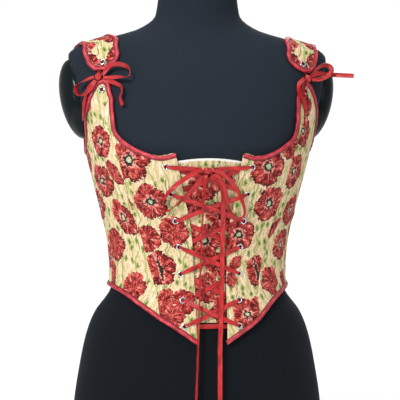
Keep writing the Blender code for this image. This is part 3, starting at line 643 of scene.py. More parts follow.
        measured = read(self.arcs[row]) * (1 - up) + read(self.arcs[row + 1]) * up
        return math.copysign(measured, bearing)

    def moved(self, bearing: float, height: float, offset: Vector) -> Spot:
        """The (bearing, height) reached from a place by moving an offset along the cloth."""
        turn_step, up_step = 0.2, 0.5
        here = self.on_cloth(bearing, height)
        turn = (self.on_cloth(bearing + turn_step, height) - here) / turn_step
        up = (self.on_cloth(bearing, height + up_step) - here) / up_step
        both, turn_square, up_square = turn.dot(up), turn.length_squared, up.length_squared
        scale = turn_square * up_square - both * both
        turned = (offset.dot(turn) * up_square - offset.dot(up) * both) / scale
        raised = (offset.dot(up) * turn_square - offset.dot(turn) * both) / scale
        return bearing + turned, height + raised


class Pattern:
    """The cut of the vest's panels, read smoothly from the pattern tables."""

    def __init__(self, figure: Figure) -> None:
        """Keeps the figure that the vest is worn on."""
        self.figure = figure

    def front_line(self, column: str, at: float) -> Spot:
        """A column of the front pattern, as (bearing, height), at a row number."""
        corner = {"edge": FRONT_CORNER, "side": UNDERARM}.get(column)
        bearing = spline([getattr(row, column) for row in FRONT], at, corner)
        height = spline([getattr(row, column + "_height") for row in FRONT], at, corner)
        return bearing, height

    def back_line(self, column: str, at: float) -> Spot:
        """A column of the back pattern, as (bearing, height), at a row number."""
        bearing = spline([getattr(row, column) for row in BACK], at, BACK_CORNER)
        height = spline([getattr(row, column + "_height") for row in BACK], at, BACK_CORNER)
        return bearing, height

    def seam_shift(self, bearing: float, height: float) -> float:
        """Half a seam's gap as an angle at this place."""
        return math.degrees(SEAM_GAP / 2 / self.figure.skin(bearing, height).to_2d().length)

    def front_place(self, first: str, second: str, side: int, across: float, at: float) -> Spot:
        """A place of a front panel, as (bearing, height), from one column of the pattern to another."""
        bearing_a, height_a = self.front_line(first, at)
        bearing_b, height_b = self.front_line(second, at)
        if first == "seam" and at <= SEAM_END:
            bearing_a += self.seam_shift(bearing_a, height_a)
        bearing_b -= self.seam_shift(bearing_b, height_b)
        bearing = bearing_a + (bearing_b - bearing_a) * across
        rise = spline([row.rise for row in FRONT], at) if first == "seam" else 0.0
        height = height_a + (height_b - height_a) * across + rise * 4 * across * (1 - across)
        return self.figure.worn(side, bearing, height), height

    def back_place(self, side: int, across: float, at: float) -> Spot:
        """A place of a back panel, as (bearing, height), from the centre back to the side seam."""
        bearing_a, height_a = self.back_line("centre", at)
        bearing_b, height_b = self.back_line("side", at)
        if at <= BACK_CORNER:
            bearing_a -= self.seam_shift(bearing_a, height_a)
            bearing_b += self.seam_shift(bearing_b, height_b)
        bearing = bearing_a + (bearing_b - bearing_a) * across
        return side * bearing, height_a + (height_b - height_a) * eased(across)


class Graph:
    """Wires one material's shader nodes, a call for each step."""

    def __init__(self, name: str) -> None:
        """Makes the material."""
        self.material = bpy.data.materials.new(name)
        self.material.use_nodes = True
        self.tree = self.material.node_tree
        self.shader = self.tree.nodes["Principled BSDF"]

    def feed(self, socket: NodeSocket, value: object) -> None:
        """Links a socket to an input, or sets the input's own value."""
        if isinstance(value, NodeSocket):
            self.tree.links.new(value, socket)
        elif socket.type == "RGBA" and len(value) == 3:
            socket.default_value = (*value, 1.0)
        else:
            socket.default_value = value

    def node(self, kind: str, inputs: dict | None = None, **settings: object) -> bpy.types.Node:
        """Adds a node with its settings and inputs."""
        made = self.tree.nodes.new(kind)
        for name, value in settings.items():
            setattr(made, name, value)
        for name, value in (inputs or {}).items():
            self.feed(made.inputs[name], value)
        return made

    def math(self, operation: str, *values: object, clamp: bool = False) -> NodeSocket:
        """A Math node."""
        made = self.node("ShaderNodeMath", dict(enumerate(values)), operation=operation, use_clamp=clamp)
        return made.outputs[0]

    def vector(self, operation: str, *values: object, **inputs: object) -> NodeSocket:
        """A Vector Math node."""
        made = self.node("ShaderNodeVectorMath", {**dict(enumerate(values)), **inputs}, operation=operation)
        return made.outputs[1 if operation in ("LENGTH", "DOT_PRODUCT", "DISTANCE") else 0]

    def below(self, value: object, limit: object) -> NodeSocket:
        """1 where a value is below a limit, else 0."""
        return self.math("LESS_THAN", value, limit)

    def above(self, value: object, limit: object) -> NodeSocket:
        """1 where a value is above a limit, else 0."""
        return self.math("GREATER_THAN", value, limit)

    def times(self, value: object, other: object, clamp: bool = False) -> NodeSocket:
        """One value times another."""
        return self.math("MULTIPLY", value, other, clamp=clamp)

    def scaled(self, value: object, factor: object, added: object) -> NodeSocket:
        """A value times a factor, with another added."""
        return self.math("MULTIPLY_ADD", value, factor, added)

    def stretched(self, vector: object, factors: object) -> NodeSocket:
        """A vector or colour times another, part by part."""
        return self.vector("MULTIPLY", vector, factors)

    def parts(self, vector: object) -> bpy.types.NodeOutputs:
        """A vector's three parts."""
        return self.node("ShaderNodeSeparateXYZ", {0: vector}).outputs

    def joined(self, *parts: object) -> NodeSocket:
        """A vector of up to three parts; what is left out is 0."""
        return self.node("ShaderNodeCombineXYZ", dict(enumerate(parts))).outputs[0]

    def mix(self, share: object, low: object, high: object, kind: str = "RGBA") -> NodeSocket:
        """A Mix node for colours, or for vectors or numbers by kind."""
        first = {"FLOAT": 2, "VECTOR": 4, "RGBA": 6}[kind]
        made = self.node("ShaderNodeMix", {0: share, first: low, first + 1: high}, data_type=kind)
        return made.outputs[{"FLOAT": 0, "VECTOR": 1, "RGBA": 2}[kind]]

    def noise(
        self, vector: object, scale: float, detail: float = 2.0, colour: bool = False,
    ) -> NodeSocket:
        """A Noise texture's value, or its colour."""
        made = self.node("ShaderNodeTexNoise", {"Vector": vector, "Scale": scale, "Detail": detail})
        return made.outputs["Color" if colour else "Fac"]

    def ramp(self, value: object, stops: Sequence[tuple[float, Colour]]) -> NodeSocket:
        """A colour ramp over a value."""
        made = self.node("ShaderNodeValToRGB", {"Fac": value})
        elements = made.color_ramp.elements
        while len(elements) < len(stops):
            elements.new(0.5)
        for element, (place, colour) in zip(elements, stops):
            element.position = place
            element.color = (*colour, 1.0)
        return made.outputs["Color"]

    def bump(self, height: object, distance: float, strength: float = 1.0) -> NodeSocket:
        """A Bump node's normal, with its distance in mm."""
        inputs = {"Height": height, "Distance": distance * MM, "Strength": strength}
        return self.node("ShaderNodeBump", inputs).outputs["Normal"]

    def grain(self) -> NodeSocket:
        """The piece's own grain map, in mm across and along."""
        return self.node("ShaderNodeUVMap", uv_map="grain").outputs["UV"]

    def dress(self, **values: object) -> Material:
        """Sets the shader's inputs by name, with underscores for spaces, and returns the material."""
        for name, value in values.items():
            self.feed(self.shader.inputs[name.replace("_", " ")], value)
        return self.material


MAROON: Colour = (0.075, 0.005, 0.005)
DEEP_RED: Colour = (0.22, 0.012, 0.011)
POPPY_RED: Colour = (0.38, 0.029, 0.023)
SCARLET: Colour = (0.52, 0.062, 0.052)
CORAL: Colour = (0.66, 0.13, 0.10)
PINK: Colour = (0.82, 0.38, 0.31)
CREAM: Colour = (0.76, 0.53, 0.345)
PALE_CREAM: Colour = (0.84, 0.65, 0.48)
COOL_CREAM: Colour = (0.80, 0.64, 0.48)
LIGHT_CREAM: Colour = (0.82, 0.66, 0.50)
SHADED_CREAM: Colour = (0.46, 0.38, 0.20)
STRAW: Colour = (0.66, 0.52, 0.28)
YELLOW_GREEN: Colour = (0.50, 0.43, 0.175)
GREEN_STREAK: Colour = (0.42, 0.45, 0.17)
STEM: Colour = (0.32, 0.37, 0.12)
DARK_STEM: Colour = (0.22, 0.25, 0.075)
LEAF_RIM: Colour = (0.44, 0.48, 0.19)
LEAF: Colour = (0.24, 0.28, 0.075)
DARK_LEAF: Colour = (0.095, 0.115, 0.030)
CORE_DARK: Colour = (0.020, 0.022, 0.016)
CORE_GREEN: Colour = (0.36, 0.42, 0.22)
CORE_PALE: Colour = (0.55, 0.58, 0.40)
THREAD_WHITE: Colour = (0.90, 0.90, 0.88)
THREAD_SHADE: Colour = (0.50, 0.50, 0.46)


@dataclass(frozen=True)
class Tapestry:
    """Jacquard tapestry: poppies, buds and sprigs woven in blocks on a ribbed cream ground."""

    name: str
    flowers: tuple[Flower, ...]
    overlock_from: float | None = None
    repeat: tuple[float, float] | None = None
    thread_across: float = 0.75
    thread_up: float = 0.6
    drift: float = 7.0
    leaf_across: float = 8.8
    leaf_up: float = 15.5

    def make(self) -> Material:
        """Builds the material.

        Returns:
            The finished material, drawn on the piece's grain map.
        """
        graph = Graph(self.name)
        grain = graph.grain()
        woven = graph.vector("SNAP", grain, (self.thread_across, self.thread_up, 1.0))
        drift = graph.vector("SUBTRACT", graph.noise(woven, 0.085, 2.0, colour=True), (0.5, 0.5, 0.5))
        drawn = graph.vector("ADD", woven, graph.stretched(drift, (self.drift, self.drift, 0.0)))
        ground = self.ground(graph, woven, drawn)
        laid = self.repeated(graph, drawn) if self.repeat else drawn
        colour = self.with_flowers(graph, woven, laid, ground)
        if self.overlock_from is not None:
            colour = self.overlocked(graph, grain, colour)
        across, up, _ = graph.parts(grain)
        warp = graph.math("SINE", graph.times(across, math.tau / self.thread_across))
        weft = graph.math("SINE", graph.times(up, math.tau / self.thread_up))
        rib = graph.times(warp, weft)
        shade = graph.scaled(rib, 0.05, 0.95)
        colour = graph.stretched(colour, graph.joined(shade, shade, shade))
        relief = graph.math("ADD", graph.times(rib, 0.35), graph.noise(drawn, 0.5, 2.0))
        return graph.dress(
            Base_Color=colour, Roughness=0.86, Sheen_Weight=0.03, Sheen_Roughness=0.5,
            Specular_IOR_Level=0.15, Normal=graph.bump(relief, 0.28, 0.8),
        )

    def ground(self, graph: Graph, woven: object, drawn: object) -> NodeSocket:
        """The cream ground with its pale streaks, stems and leaves."""
        streak = graph.noise(graph.stretched(drawn, (0.34, 0.040, 1.0)), 1.0, 3.0)
        ground = graph.ramp(streak, (
            (0.30, GREEN_STREAK), (0.38, YELLOW_GREEN), (0.45, STRAW), (0.52, CREAM), (0.62, PALE_CREAM),
            (0.74, COOL_CREAM),
        ))
        fine = graph.noise(graph.stretched(woven, (1.3, 0.14, 1.0)), 1.0, 2.0)
        ground = graph.mix(graph.below(fine, 0.42), ground, SHADED_CREAM)
        ground = graph.mix(graph.above(fine, 0.66), ground, LIGHT_CREAM)
        for spacing, lean, thick, start, tint in (
            (8.5, 0.05, 0.95, 3.0, STEM), (13.0, -0.09, 0.80, 31.0, DARK_STEM),
        ):
            stem = self.stems(graph, woven, drawn, spacing, lean, thick, start)
            ground = graph.mix(stem, ground, tint)
        placed = graph.stretched(drawn, (1 / self.leaf_across, 1 / self.leaf_up, 1.0))
        inputs = {"Vector": placed, "Scale": 1.0, "Randomness": 0.8}
        cells = graph.node("ShaderNodeTexVoronoi", inputs, voronoi_dimensions="2D")
        ragged = graph.scaled(graph.noise(woven, 0.6, 1.0), 0.16, -0.08)
        near = graph.math("ADD", cells.outputs["Distance"], ragged)
        kept = graph.above(graph.parts(cells.outputs["Color"])[0], 0.45)
        for reach, tint in ((0.33, LEAF_RIM), (0.25, LEAF), (0.12, DARK_LEAF)):
            ground = graph.mix(graph.times(graph.below(near, reach), kept), ground, tint)
        return ground

    def stems(
        self, graph: Graph, woven: object, drawn: object, spacing: float, lean: float, thick: float,
        start: float,
    ) -> NodeSocket:
        """Where one set of wandering, broken stems shows.

        Args:
            graph: The material's nodes.
            woven: The place in whole threads.
            drawn: The place with the drawing's drift.
            spacing: Half the distance between two stems, in mm.
            lean: How far a stem goes sideways for each mm up.
            thick: Half a stem's thickness, in mm.
            start: Where this set begins in the noise.

        Returns:
            1 on a stem, else 0.
        """
        across, up, _ = graph.parts(drawn)
        shifted = graph.vector("MULTIPLY_ADD", woven, (0.014, 0.026, 1.0), (start, start, 0.0))
        wander = graph.noise(shifted, 1.0, 1.0)
        leaning = graph.scaled(up, lean, across)
        off = graph.math("PINGPONG", graph.scaled(wander, 27.0, leaning), spacing)
        apart = graph.vector("MULTIPLY_ADD", woven, (0.06, 0.030, 1.0), (start, 0.0, 0.0))
        broken = graph.noise(apart, 1.0, 2.0)
        return graph.times(graph.below(off, thick), graph.above(broken, 0.44))

    def repeated(self, graph: Graph, drawn: object) -> NodeSocket:
        """The place inside one repeat of the pattern, each column half a repeat from the next."""
        wide, high = self.repeat
        across, up, _ = graph.parts(drawn)
        column = graph.math("FLOOR", graph.scaled(across, 1 / wide, 0.5))
        across = graph.scaled(column, -wide, across)
        up = graph.math("WRAP", graph.scaled(column, high / 2, up), high, 0.0)
        return graph.joined(across, up)

    def nearest(self, graph: Graph, drawn: object) -> object:
        """The place inside the nearest flower, in shares of its radius, with its kind's code along Z."""
        best: object = (9.0, 9.0, 0.0)
        reach: object = 12.0
        for across, up, radius, narrow, turn, bloom in self.flowers:
            mapped = graph.node("ShaderNodeMapping", {
                "Vector": drawn, "Location": (across, up, -0.01 * bloom.value),
                "Rotation": (0.0, 0.0, math.radians(turn)), "Scale": (radius * narrow, radius, 1.0),
            }, vector_type="TEXTURE").outputs[0]
            length = graph.vector("LENGTH", mapped)
            best = graph.mix(graph.below(length, reach), best, mapped, "VECTOR")
            reach = graph.math("MINIMUM", reach, length)
        return best

    def with_flowers(
        self, graph: Graph, woven: object, drawn: object, ground: object,
    ) -> NodeSocket:
        """Draws the nearest charted flower over the ground."""
        best = self.nearest(graph, drawn)
        across, up, kind = graph.parts(best)
        flat = graph.stretched(best, (1.0, 1.0, 0.0))
        radius = graph.vector("LENGTH", flat)
        ragged = graph.math("SUBTRACT", graph.noise(woven, 0.32, 2.0), 0.5)
        angle = graph.math("ARCTAN2", up, across)
        lobes = graph.math("ABSOLUTE", graph.math("COSINE", graph.times(angle, 2.5)))
        lobed = graph.scaled(graph.math("POWER", lobes, 0.6), 0.17, 0.90)
        outline = graph.scaled(ragged, 0.42, lobed)
        petals = self.petals(graph, woven, drawn, flat, lobes, outline)
        petals = self.with_core(graph, petals, flat, graph.times(kind, 100.0), ragged)
        halo = graph.below(graph.math("SUBTRACT", radius, outline), 0.05)
        ground = graph.mix(graph.times(halo, 0.5), ground, PALE_CREAM)
        return graph.mix(graph.above(outline, radius), ground, petals)

    def petals(
        self, graph: Graph, woven: object, drawn: object, flat: object, lobes: object, outline: object,
    ) -> NodeSocket:
        """The streaked and veined petals, darker between them and along their rim.

        Args:
            graph: The material's nodes.
            woven: The place in whole threads.
            drawn: The place with the drawing's drift.
            flat: The place inside the flower, in shares of its radius.
            lobes: 0 between two petals, up to 1 in the middle of one.
            outline: How far the petals reach this way.

        Returns:
            The petals' colour.
        """
        radius, way = graph.vector("LENGTH", flat), graph.vector("NORMALIZE", flat)
        fan = graph.joined(0.0, 0.0, graph.times(radius, 1.1))
        fan = graph.vector("ADD", graph.stretched(way, (2.6, 2.6, 0.0)), fan)
        fan = graph.vector("ADD", fan, graph.stretched(woven, (0.05, 0.05, 0.0)))
        folds = graph.math("SUBTRACT", graph.noise(drawn, 0.11, 1.0), 0.5)
        streaks = graph.scaled(folds, 0.55, graph.noise(fan, 1.5, 3.0))
        petals = graph.ramp(streaks, (
            (0.32, MAROON), (0.41, DEEP_RED), (0.50, POPPY_RED), (0.58, SCARLET), (0.66, CORAL), (0.74, PINK),
            (0.84, PALE_CREAM),
        ))
        veins = graph.noise(graph.stretched(fan, (3.0, 3.0, 1.3)), 1.6, 1.0)
        petals = graph.mix(graph.times(graph.below(veins, 0.42), 0.75), petals, MAROON)
        petals = graph.mix(graph.times(graph.above(veins, 0.665), 0.75), petals, PINK)
        gap = graph.times(graph.below(lobes, 0.17), graph.above(radius, 0.4))
        petals = graph.mix(graph.times(gap, 0.7), petals, MAROON)
        rim = graph.below(graph.math("SUBTRACT", outline, radius), 0.105)
        lit = graph.above(graph.vector("DOT_PRODUCT", way, (-0.5, 0.85, 0.0)), 0.1)
        rim_colour = graph.mix(graph.times(lit, graph.above(streaks, 0.5)), MAROON, CORAL)
        return graph.mix(graph.times(rim, 0.85), petals, rim_colour)

    def with_core(
        self, graph: Graph, petals: object, flat: object, code: object, ragged: object,
    ) -> NodeSocket:
        """Draws the core: a ring and a green disc on an open flower, a long one side on, none on a bud."""
        radius = graph.vector("LENGTH", flat)
        long_core = graph.vector("LENGTH", graph.stretched(flat, (1.9, 0.42, 0.0)))
        core = graph.mix(graph.above(code, 1.5), radius, long_core, "FLOAT")
        core = graph.scaled(graph.below(code, 0.5), 9.0, core)
        halo = graph.times(graph.below(core, 0.42), graph.above(ragged, 0.0))
        petals = graph.mix(graph.times(halo, 0.7), petals, PINK)
        ring = graph.below(graph.scaled(ragged, 0.45, core), 0.27)
        petals = graph.mix(ring, petals, CORE_DARK)
        disc = graph.times(graph.below(core, 0.14), graph.below(code, 1.5))
        return graph.mix(disc, petals, graph.mix(graph.above(ragged, 0.02), CORE_GREEN, CORE_PALE))

    def overlocked(self, graph: Graph, grain: object, colour: object) -> NodeSocket:
        """White overlock thread over the panel's raw top edge."""
        across, up, _ = graph.parts(grain)
        loop = graph.math("SINE", graph.times(graph.scaled(up, 0.5, across), math.tau / 1.9))
        edge = graph.above(graph.scaled(loop, 0.7, up), self.overlock_from)
        thread = graph.mix(graph.above(loop, -0.35), THREAD_SHADE, THREAD_WHITE)
        return graph.mix(edge, colour, thread)


@dataclass(frozen=True)
class Jersey:
    """Matt dark cotton jersey with a fine knit and a trace of fuzz, and painted shade that darkens it from
    the bust down, fully below the waist.
    """

    colour: Colour = (0.0085, 0.0122, 0.0182)
    light: Colour = (0.0190, 0.0255, 0.0360)
    painted_shade_colour: Colour = (0.0030, 0.0044, 0.0062)
    painted_shade_full_below: float = 0.22
    painted_shade_gone_above: float = 0.40

    def make(self) -> Material:
        """Builds the material on Object coordinates."""
        graph = Graph("dark_jersey")
        place = graph.node("ShaderNodeTexCoord").outputs["Object"]
        cloud = graph.noise(place, 9.0, 4.0)
        knit = graph.noise(graph.stretched(place, (900.0, 900.0, 620.0)), 1.0, 1.0)
        colour = graph.mix(graph.times(cloud, 0.5), self.colour, self.light)
        colour = graph.mix(graph.times(graph.above(knit, 0.62), 0.35), colour, self.light)
        # Painted shade: the jersey gives way to a much darker colour from the bust down to the waist, as if
        # lit from above
        inputs = {0: graph.parts(place)[2], 1: self.painted_shade_full_below, 2: self.painted_shade_gone_above}
        share_without_painted_shade = graph.node("ShaderNodeMapRange", inputs).outputs[0]
        colour = graph.mix(share_without_painted_shade, self.painted_shade_colour, colour)
        return graph.dress(
            Base_Color=colour, Roughness=0.92, Sheen_Weight=0.035, Sheen_Roughness=0.5,
            Sheen_Tint=(0.6, 0.7, 0.85), Specular_IOR_Level=0.12, Normal=graph.bump(knit, 0.12, 0.6),
        )


@dataclass(frozen=True)
class GlossyCap:
    """Moulded dark plastic of the armhole caps, polished with faint handling marks."""

    colour: Colour = (0.0055, 0.0090, 0.0095)

    def make(self) -> Material:
        """Builds the material on Object coordinates."""
        graph = Graph("gloss_cap")
        place = graph.node("ShaderNodeTexCoord").outputs["Object"]
        marks = graph.noise(place, 60.0, 3.0)
        rough = graph.scaled(marks, 0.12, 0.10)
        ripple = graph.noise(place, 14.0, 1.0)
        return graph.dress(
            Base_Color=self.colour, Roughness=rough, Specular_IOR_Level=0.075,
            Normal=graph.bump(ripple, 0.5, 0.3),
        )


@dataclass(frozen=True)
class Satin:
    """Red satin: a ribbon with woven edges, or a folded bias binding with its stitching, painted shade in its
    stitched groove and along its edges, and a painted highlight along its crown.
    """

    name: str
    colour: Colour
    shade: Colour
    bright: Colour
    width: float
    stitched_at: float | None = None

    def make(self) -> Material:
        """Builds the material on the grain map, whose first axis runs across the strip.

        Returns:
            The finished material.
        """
        graph = Graph(self.name)
        grain = graph.grain()
        across, along, _ = graph.parts(grain)
        cloud = graph.noise(graph.stretched(grain, (0.30, 0.075, 1.0)), 1.0, 3.0)
        colour = graph.ramp(cloud, ((0.30, self.shade), (0.52, self.colour), (0.74, self.bright)))
        rib = graph.math("SINE", graph.times(along, math.tau / 0.55))
        puckers = graph.noise(graph.stretched(grain, (0.25, 0.5, 1.0)), 1.0, 2.0)
        height = graph.scaled(rib, 0.25, puckers)
        if self.stitched_at is None:
            off = graph.math("ABSOLUTE", across)
            selvage = graph.above(off, self.width / 2 - 0.45)
            colour = graph.mix(graph.times(selvage, 0.45), colour, self.shade)
        else:
            off = graph.math("ABSOLUTE", graph.math("SUBTRACT", across, self.stitched_at))
            dash = graph.below(graph.math("FRACT", graph.math("DIVIDE", along, 2.6)), 0.72)
            line = graph.times(graph.below(off, 0.3), dash)
            # Painted shade darkens the groove along the stitching; the same mask sinks the groove in the bump
            groove_and_painted_shade = graph.math("SUBTRACT", 1.0, graph.times(off, 1.3), clamp=True)
            colour = graph.mix(graph.times(groove_and_painted_shade, 0.75), colour, self.shade)
            # Painted shade: the binding is darkened towards both edges of its fold
            folded = graph.math("ABSOLUTE", graph.math("SUBTRACT", across, self.stitched_at + 2.6))
            edge = graph.math("SUBTRACT", folded, 1.9)
            colour = graph.mix(graph.times(edge, 0.62, clamp=True), colour, self.shade)
            # Painted highlight: a lighter line along the binding's puffed crown
            painted_crown_highlight = graph.math("SUBTRACT", 1.0, graph.times(folded, 1.4), clamp=True)
            colour = graph.mix(graph.times(painted_crown_highlight, 0.38), colour, self.bright)
            colour = graph.mix(line, colour, self.shade)
            height = graph.scaled(groove_and_painted_shade, -2.2, height)
        return graph.dress(
            Base_Color=colour, Roughness=0.36, Sheen_Weight=0.08, Sheen_Roughness=0.35,
            Specular_IOR_Level=0.4, Anisotropic=0.35, Normal=graph.bump(height, 0.16, 0.7),
        )


@dataclass(frozen=True)
class PolishedEyelet:
    """Bright plated metal with fine turning marks."""

    colour: Colour = (0.66, 0.66, 0.68)
    dull: Colour = (0.48, 0.48, 0.50)

    def make(self) -> Material:
        """Builds the material on Object coordinates."""
        graph = Graph("polished_eyelet")
        place = graph.node("ShaderNodeTexCoord").outputs["Object"]
        marks = graph.noise(place, 900.0, 2.0)
        rough = graph.scaled(marks, 0.16, 0.10)
        tint = graph.mix(graph.noise(place, 300.0, 1.0), self.dull, self.colour)
        return graph.dress(
            Base_Color=tint, Metallic=1.0, Roughness=rough, Normal=graph.bump(marks, 0.02, 0.4)
        )


@dataclass(frozen=True)
class PaleFloor:
    """The pale floor that the form stands on."""

    colour: Colour = (0.97, 0.97, 0.972)
    pale: Colour = (0.985, 0.985, 0.985)

    def make(self) -> Material:
        """Builds the material with a faint grain."""
        graph = Graph("pale_floor")
        place = graph.node("ShaderNodeTexCoord").outputs["Object"]
        tint = graph.mix(graph.noise(place, 3.0, 2.0), self.colour, self.pale)
        return graph.dress(Base_Color=tint, Roughness=0.95)


def placed_grid(columns: int, rows: int, place: Callable[[float, float], Place]) -> BMesh:
    """Lays a grid by a rule and gives it its grain map.

    Args:
        columns: Faces across.
        rows: Faces along.
        place: Gives the point and the grain, in mm, of a place from 0 to 1 across and along.

    Returns:
        The grid, in metres.
    """
    bm = bmesh.new()
    bmesh.ops.create_grid(bm, x_segments=columns, y_segments=rows, size=0.5)
    spots = [place(vert.co.x + 0.5, vert.co.y + 0.5) for vert in bm.verts]
    bm.verts.index_update()
    layer = bm.loops.layers.uv.new("grain")
    for face in bm.faces:
        for loop in face.loops:
            loop[layer].uv = spots[loop.vert.index][1]
    for vert in bm.verts:
        vert.co = spots[vert.index][0] * MM
    return bm


def swept(rings: Sequence[Sequence[Place]], closed: bool = False) -> BMesh:
    """Lays a grid through rings of places.

    Args:
        rings: The rings, one after the other along the piece.
        closed: Whether each ring's last point is its first, so that the piece is a filled tube.

    Returns:
        The strip or tube, in metres.
    """
    across, along = len(rings[0]) - 1, len(rings) - 1
    bm = placed_grid(across, along, lambda a, b: rings[round(b * along)][round(a * across)])
    if closed:
        bmesh.ops.remove_doubles(bm, verts=bm.verts, dist=0.01 * MM)
        bmesh.ops.holes_fill(bm, edges=[edge for edge in bm.edges if edge.is_boundary], sides=0)
        bmesh.ops.recalc_face_normals(bm, faces=bm.faces)
    return bm


def in_metres(bm: BMesh, place: Matrix = Matrix()) -> None:
    """Moves a bmesh that was made in mm to its place, and scales it to metres."""
    bmesh.ops.transform(bm, matrix=place, verts=bm.verts)
    bmesh.ops.scale(bm, vec=(MM, MM, MM), verts=bm.verts)


def new_piece(name: str, bm: BMesh, material: Material) -> Object:
    """Puts a bmesh into a new object with its material."""
    mesh = bpy.data.meshes.new(name)
    bm.to_mesh(mesh)
    bm.free()
    mesh.materials.append(material)
    piece = bpy.data.objects.new(name, mesh)
    bpy.context.scene.collection.objects.link(piece)
    return piece


def baked(piece: Object, sharp: float = 50.0) -> Object:
    """Applies a piece's modifiers and shades it smooth up to an angle."""
    graph = bpy.context.evaluated_depsgraph_get()
    mesh = bpy.data.meshes.new_from_object(
        piece.evaluated_get(graph), preserve_all_data_layers=True, depsgraph=graph
    )
    plain = piece.data
    piece.modifiers.clear()
    piece.data = mesh
    bpy.data.meshes.remove(plain)
    mesh.name = piece.name
    mesh.shade_smooth()
    mesh.set_sharp_from_angle(angle=math.radians(sharp))
    return piece


def thickened(piece: Object, wall: float, offset: float, rounded: float = 0.0) -> None:
    """Gives a sheet its wall, in mm, and rounds the edges of its rim."""
    solidify = piece.modifiers.new("wall", "SOLIDIFY")
    solidify.thickness = wall * MM
    solidify.offset = offset
    if rounded:
        bevel = piece.modifiers.new("rounded rim", "BEVEL")
        bevel.width = rounded * MM
        bevel.segments = 2
        bevel.profile = 0.5
        bevel.limit_method = "ANGLE"
        bevel.angle_limit = math.radians(55)


def stands_for(piece: Object, slot: str, *nodes: str) -> Object:
    """Lets a piece ride on the body in place of its nodes, which are hidden."""
    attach(piece, BODY)
    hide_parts(*nodes)
    LOG.info("%s: %d faces", piece.name, len(piece.data.polygons))
    return piece


LAMPS = (
    Lamp("key", (-1.5, -2.1, 1.7), (0.5, 0.5), 68.0),
    Lamp("fill", (1.7, -1.9, 0.9), (1.2, 1.2), 7.0),
    Lamp("top", (0.0, -0.3, 2.8), (2.4, 2.4), 38.0, (0.0, 0.0, 0.3)),
    Lamp("strip", (-1.5, -1.15, 0.5), (0.07, 0.5), 4.0, (-0.18, 0.0, 0.46)),
    Lamp("back_fill", (0.9, 2.2, 1.6), (1.4, 1.4), 22.0),
)


@dataclass
class Studio:
    """Camera, pale floor and soft lights."""

    floor: PaleFloor
    azimuth: float = -8.0
    distance: float = 2600.0
    aim: tuple[float, float] = (3.475, 322.5)
    lens: float = 168.3
    sensor: float = 36.0
    floor_radius: float = 1250.0
    ambient: float = 0.46
    backdrop: float = 1.05

    def set_camera(self) -> None:
        """Sets the camera level before the figure, a little to its left."""
        turn = math.radians(self.azimuth)
        back = Vector((math.sin(turn), -math.cos(turn), 0))
        right = Vector((math.cos(turn), math.sin(turn), 0))
        data = bpy.data.cameras.new("camera")
        data.lens = self.lens
        data.sensor_width = self.sensor
        camera = bpy.data.objects.new("camera", data)
        across, height = self.aim
        camera.location = (back * self.distance + right * across + Vector((0, 0, height))) * MM
        camera.rotation_euler = back.to_track_quat("Z", "Y").to_euler()
        bpy.context.scene.collection.objects.link(camera)
        bpy.context.scene.camera = camera

    def lay_floor(self) -> None:
        """Lays the round pale floor under the form."""
        bm = bmesh.new()
        bmesh.ops.create_circle(bm, cap_ends=True, segments=128, radius=self.floor_radius * MM)
        new_piece("pale_floor", bm, self.floor.make())

    def add_light(self, lamp: Lamp) -> None:
        """Adds a soft light, turned to its aim."""
        data = bpy.data.lights.new(lamp.name, "AREA")
        data.shape = "RECTANGLE"
        data.size, data.size_y = lamp.size
        data.energy = lamp.power
        light = bpy.data.objects.new(lamp.name, data)
        light.location = lamp.place
        away = Vector(lamp.place) - Vector(lamp.aim)
        light.rotation_euler = away.to_track_quat("Z", "Y").to_euler()
        bpy.context.scene.collection.objects.link(light)

    def light_up(self) -> None:
        """Sets the ambient light with its white backdrop, and the soft lights round the figure."""
        world = bpy.context.scene.world or bpy.data.worlds.new("studio")
        bpy.context.scene.world = world
        world.use_nodes = True
        shade = world.node_tree.nodes["Background"]
        shade.inputs["Color"].default_value = (1.0, 1.0, 1.0, 1.0)
        seen = world.node_tree.nodes.new("ShaderNodeLightPath").outputs["Is Camera Ray"]
        level = world.node_tree.nodes.new("ShaderNodeMath")
        level.operation = "MULTIPLY_ADD"
        level.inputs[1].default_value = self.backdrop - self.ambient
        level.inputs[2].default_value = self.ambient
        world.node_tree.links.new(seen, level.inputs[0])
        world.node_tree.links.new(level.outputs[0], shade.inputs["Strength"])
        for lamp in LAMPS:
            self.add_light(lamp)
        bpy.context.scene.view_settings.view_transform = "Standard"


